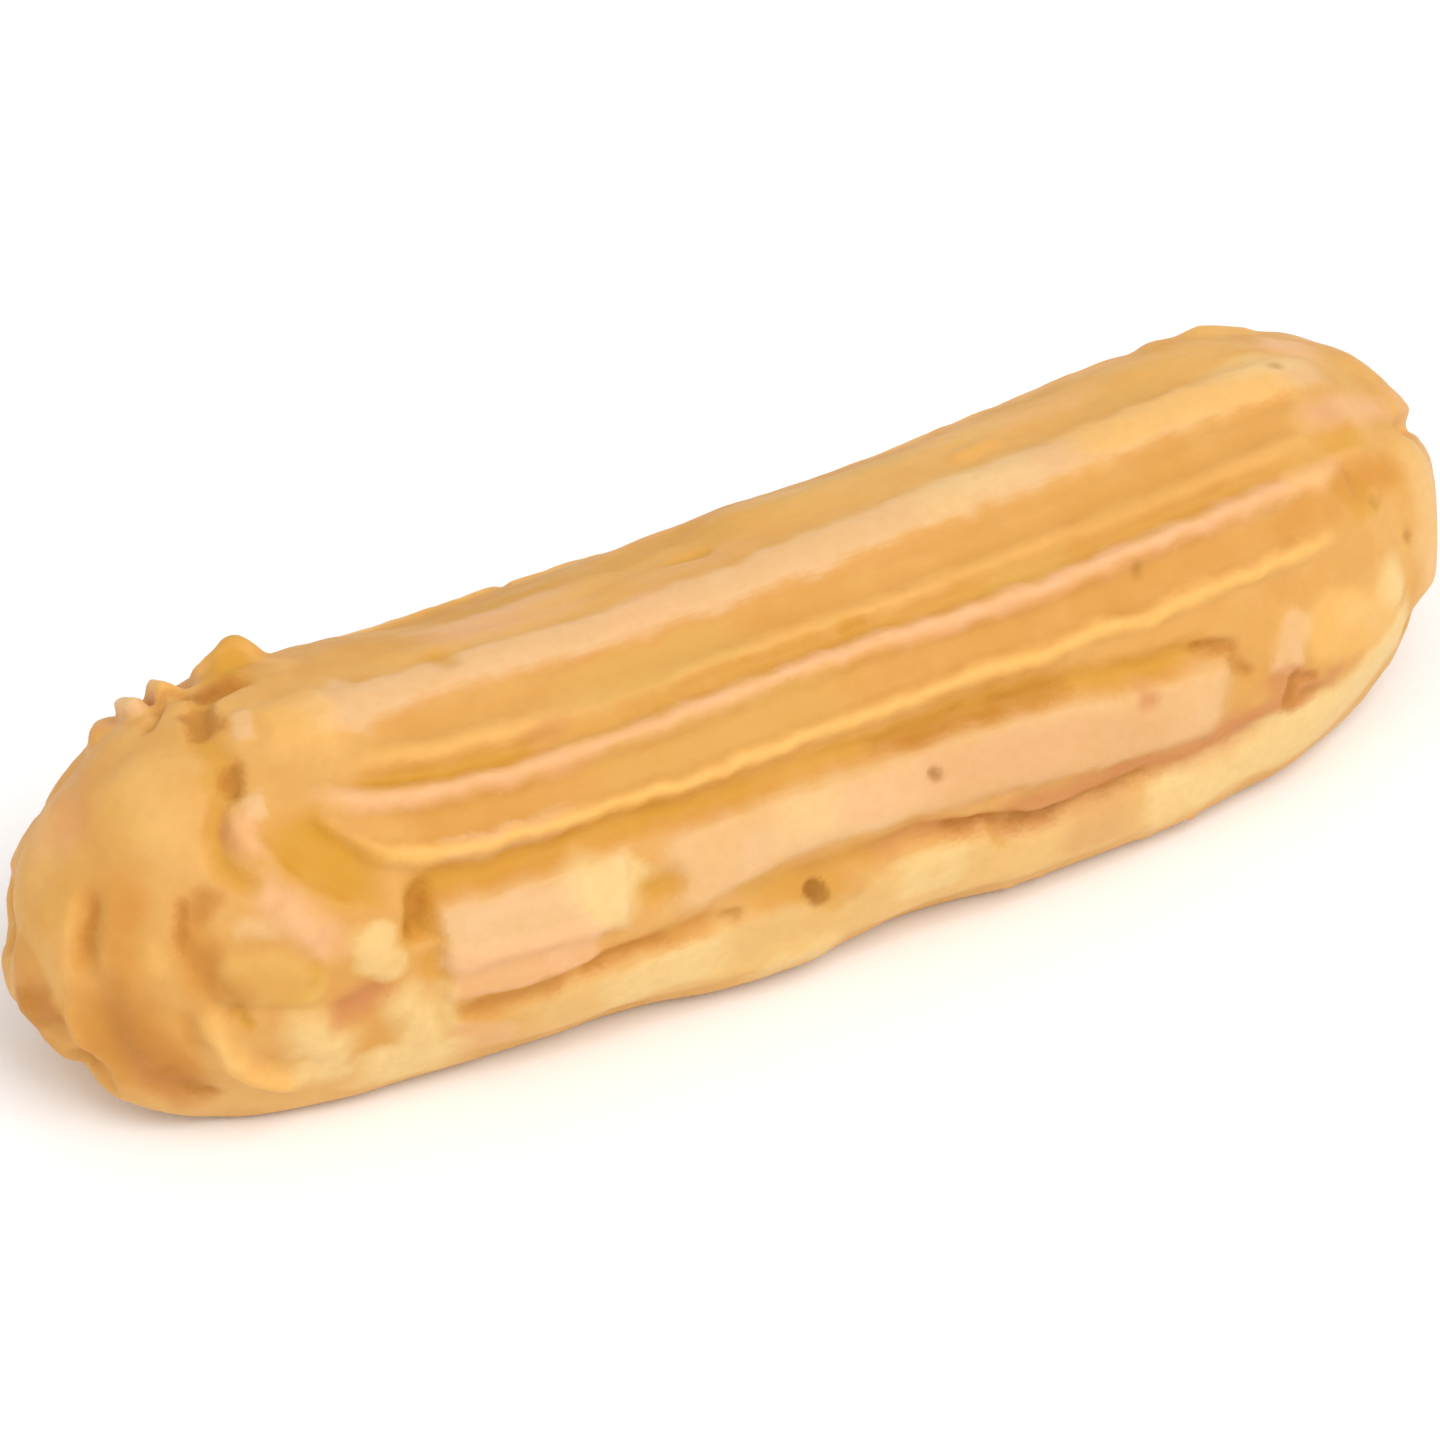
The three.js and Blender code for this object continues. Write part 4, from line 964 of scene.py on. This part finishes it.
# Some tones double as painted light: cream, pink, honey and butter are also painted highlight and painted
# light; toast, ochre, brown and pit are also painted shade.
TINT_TONES = {
    "toast_and_shade": tone(205, 140, 62),
    "honey": tone(235, 181, 100),
    "butter": tone(233, 199, 135),
    "straw": tone(215, 168, 90),
    "cream": tone(226, 182, 132),
    "pink": tone(232, 178, 130),
    "ochre": tone(206, 148, 49),
    "rust": tone(199, 128, 80),
    "brown": tone(178, 114, 44),
    "pit": tone(152, 96, 28),
}

colour = crust.mix(GOLD, LIGHT_GOLD, patches)
colour = crust.mix(colour, TANNED, mottle * 0.35)
# The low side is mixed towards butter, partly its own colour and partly painted light; hollows towards ochre
# as painted shade over darker dough; crests towards honey as painted highlight.
colour = crust.mix(colour, TINT_TONES["butter"], crust.kept("low") * 0.3)
colour = crust.mix(colour, TINT_TONES["ochre"], crust.kept("hollow") * 0.45)
colour = crust.mix(colour, TINT_TONES["honey"], crust.kept("crest") * 0.3)
broken = 0.8 + mottle * 0.2
for tint in TINTS:
    colour = crust.mix(colour, TINT_TONES[tint], crust.kept(tint) * broken)
colour = crust.mix(colour, TANNED, flecks * 0.12)

wrinkles = crust.clouds(place, 0.9, 3, 0.55)
cells = {"Vector": place, "Scale": 1 / (1.7 * MM)}
dimples = crust.node("ShaderNodeTexVoronoi", {"feature": "SMOOTH_F1"}, cells)
surface = wrinkles * 0.6 + dimples * 0.25 + speckle * 0.12
bump = crust.node("ShaderNodeBump", None, {"Strength": 0.35, "Distance": 0.25 * MM, "Height": surface})
crust.set(Base_Color=colour, Roughness=0.46 + mottle * 0.1 + crust.kept("hollow") * 0.12, Normal=bump)
crust.set(Subsurface_Weight=0.12, Subsurface_Radius=(1.0, 0.45, 0.16), Subsurface_Scale=1.6 * MM)
crust.set(Specular_IOR_Level=0.12)

shell.data.materials.clear()
shell.data.materials.append(crust.material)
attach(shell, "root")
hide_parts("choux_shell")
print("crust:", len(crust.nodes), "nodes")

# %% [markdown]
# ## Floor, light and camera
# The piece lies on a plain pale floor. Soft light comes from the front, above and a little to the right, so
# the long side is bright, the end of the tail is darker, and grooves keep a soft shade. A long lens from 28
# degrees round towards the tail and 40 degrees above gives the view of the photograph.
# %% Floor and lights
leave_selection()
bpy.ops.mesh.primitive_plane_add(size=6, location=(0, 0, 0))
floor = bpy.context.object
floor.name = "floor"
paper = Finish("pale_floor")
paper.set(Base_Color=(0.96, 0.96, 0.96, 1), Roughness=0.9, Specular_IOR_Level=0.2)
floor.data.materials.append(paper.material)

scene = bpy.context.scene
world = bpy.data.worlds.new("soft_white_room")
world.use_nodes = True
background = world.node_tree.nodes["Background"].inputs
background["Color"].default_value = (1, 1, 1, 1)
background["Strength"].default_value = 0.76
scene.world = world
scene.view_settings.view_transform = "Standard"


def direction(azimuth, elevation):
    """The way out from the eclair. Azimuth 0 is the near side; it grows towards the nose."""
    turn = math.radians(azimuth)
    rise = math.radians(elevation)
    return Vector((math.sin(turn) * math.cos(rise), -math.cos(turn) * math.cos(rise), math.sin(rise)))


def soft_light(name, azimuth, elevation, distance, size, power):
    """An area light that looks at the eclair."""
    away = direction(azimuth, elevation)
    bpy.ops.object.light_add(type="AREA", location=away * distance)
    lamp = bpy.context.object
    lamp.name = name
    lamp.data.size = size
    lamp.data.energy = power
    lamp.rotation_euler = away.to_track_quat("Z", "Y").to_euler()


soft_light("key_softbox", 18, 56, 2.4, 1.6, 29.5)
soft_light("fill_softbox", -65, 40, 2.4, 1.9, 7)

# %% [markdown]
# The camera looks along its own local -Z, with its X to the right of the picture and its Y up. So its place
# and turn follow from three directions: back, right and up.
# %% Camera
AZIMUTH = -28.4
ELEVATION = 40
DISTANCE = 0.7
LENS = 199.5
AIM_HEIGHT = 16.5
AIM_LEFT = 2.47
AIM_DOWN = 0.97

back = direction(AZIMUTH, ELEVATION)
right = direction(AZIMUTH + 90, 0)
up = back.cross(right)
aim = Vector((0, 0, AIM_HEIGHT)) * MM - right * AIM_LEFT * MM - up * AIM_DOWN * MM - Vector(middle) * MM
bpy.ops.object.camera_add(location=aim + back * DISTANCE)
camera = bpy.context.object
camera.rotation_euler = Matrix((right, up, back)).transposed().to_euler()
camera.data.lens = LENS
camera.data.sensor_width = 36
camera.data.clip_end = 10
scene.camera = camera
print("camera at", np.round(np.array(camera.location), 3))
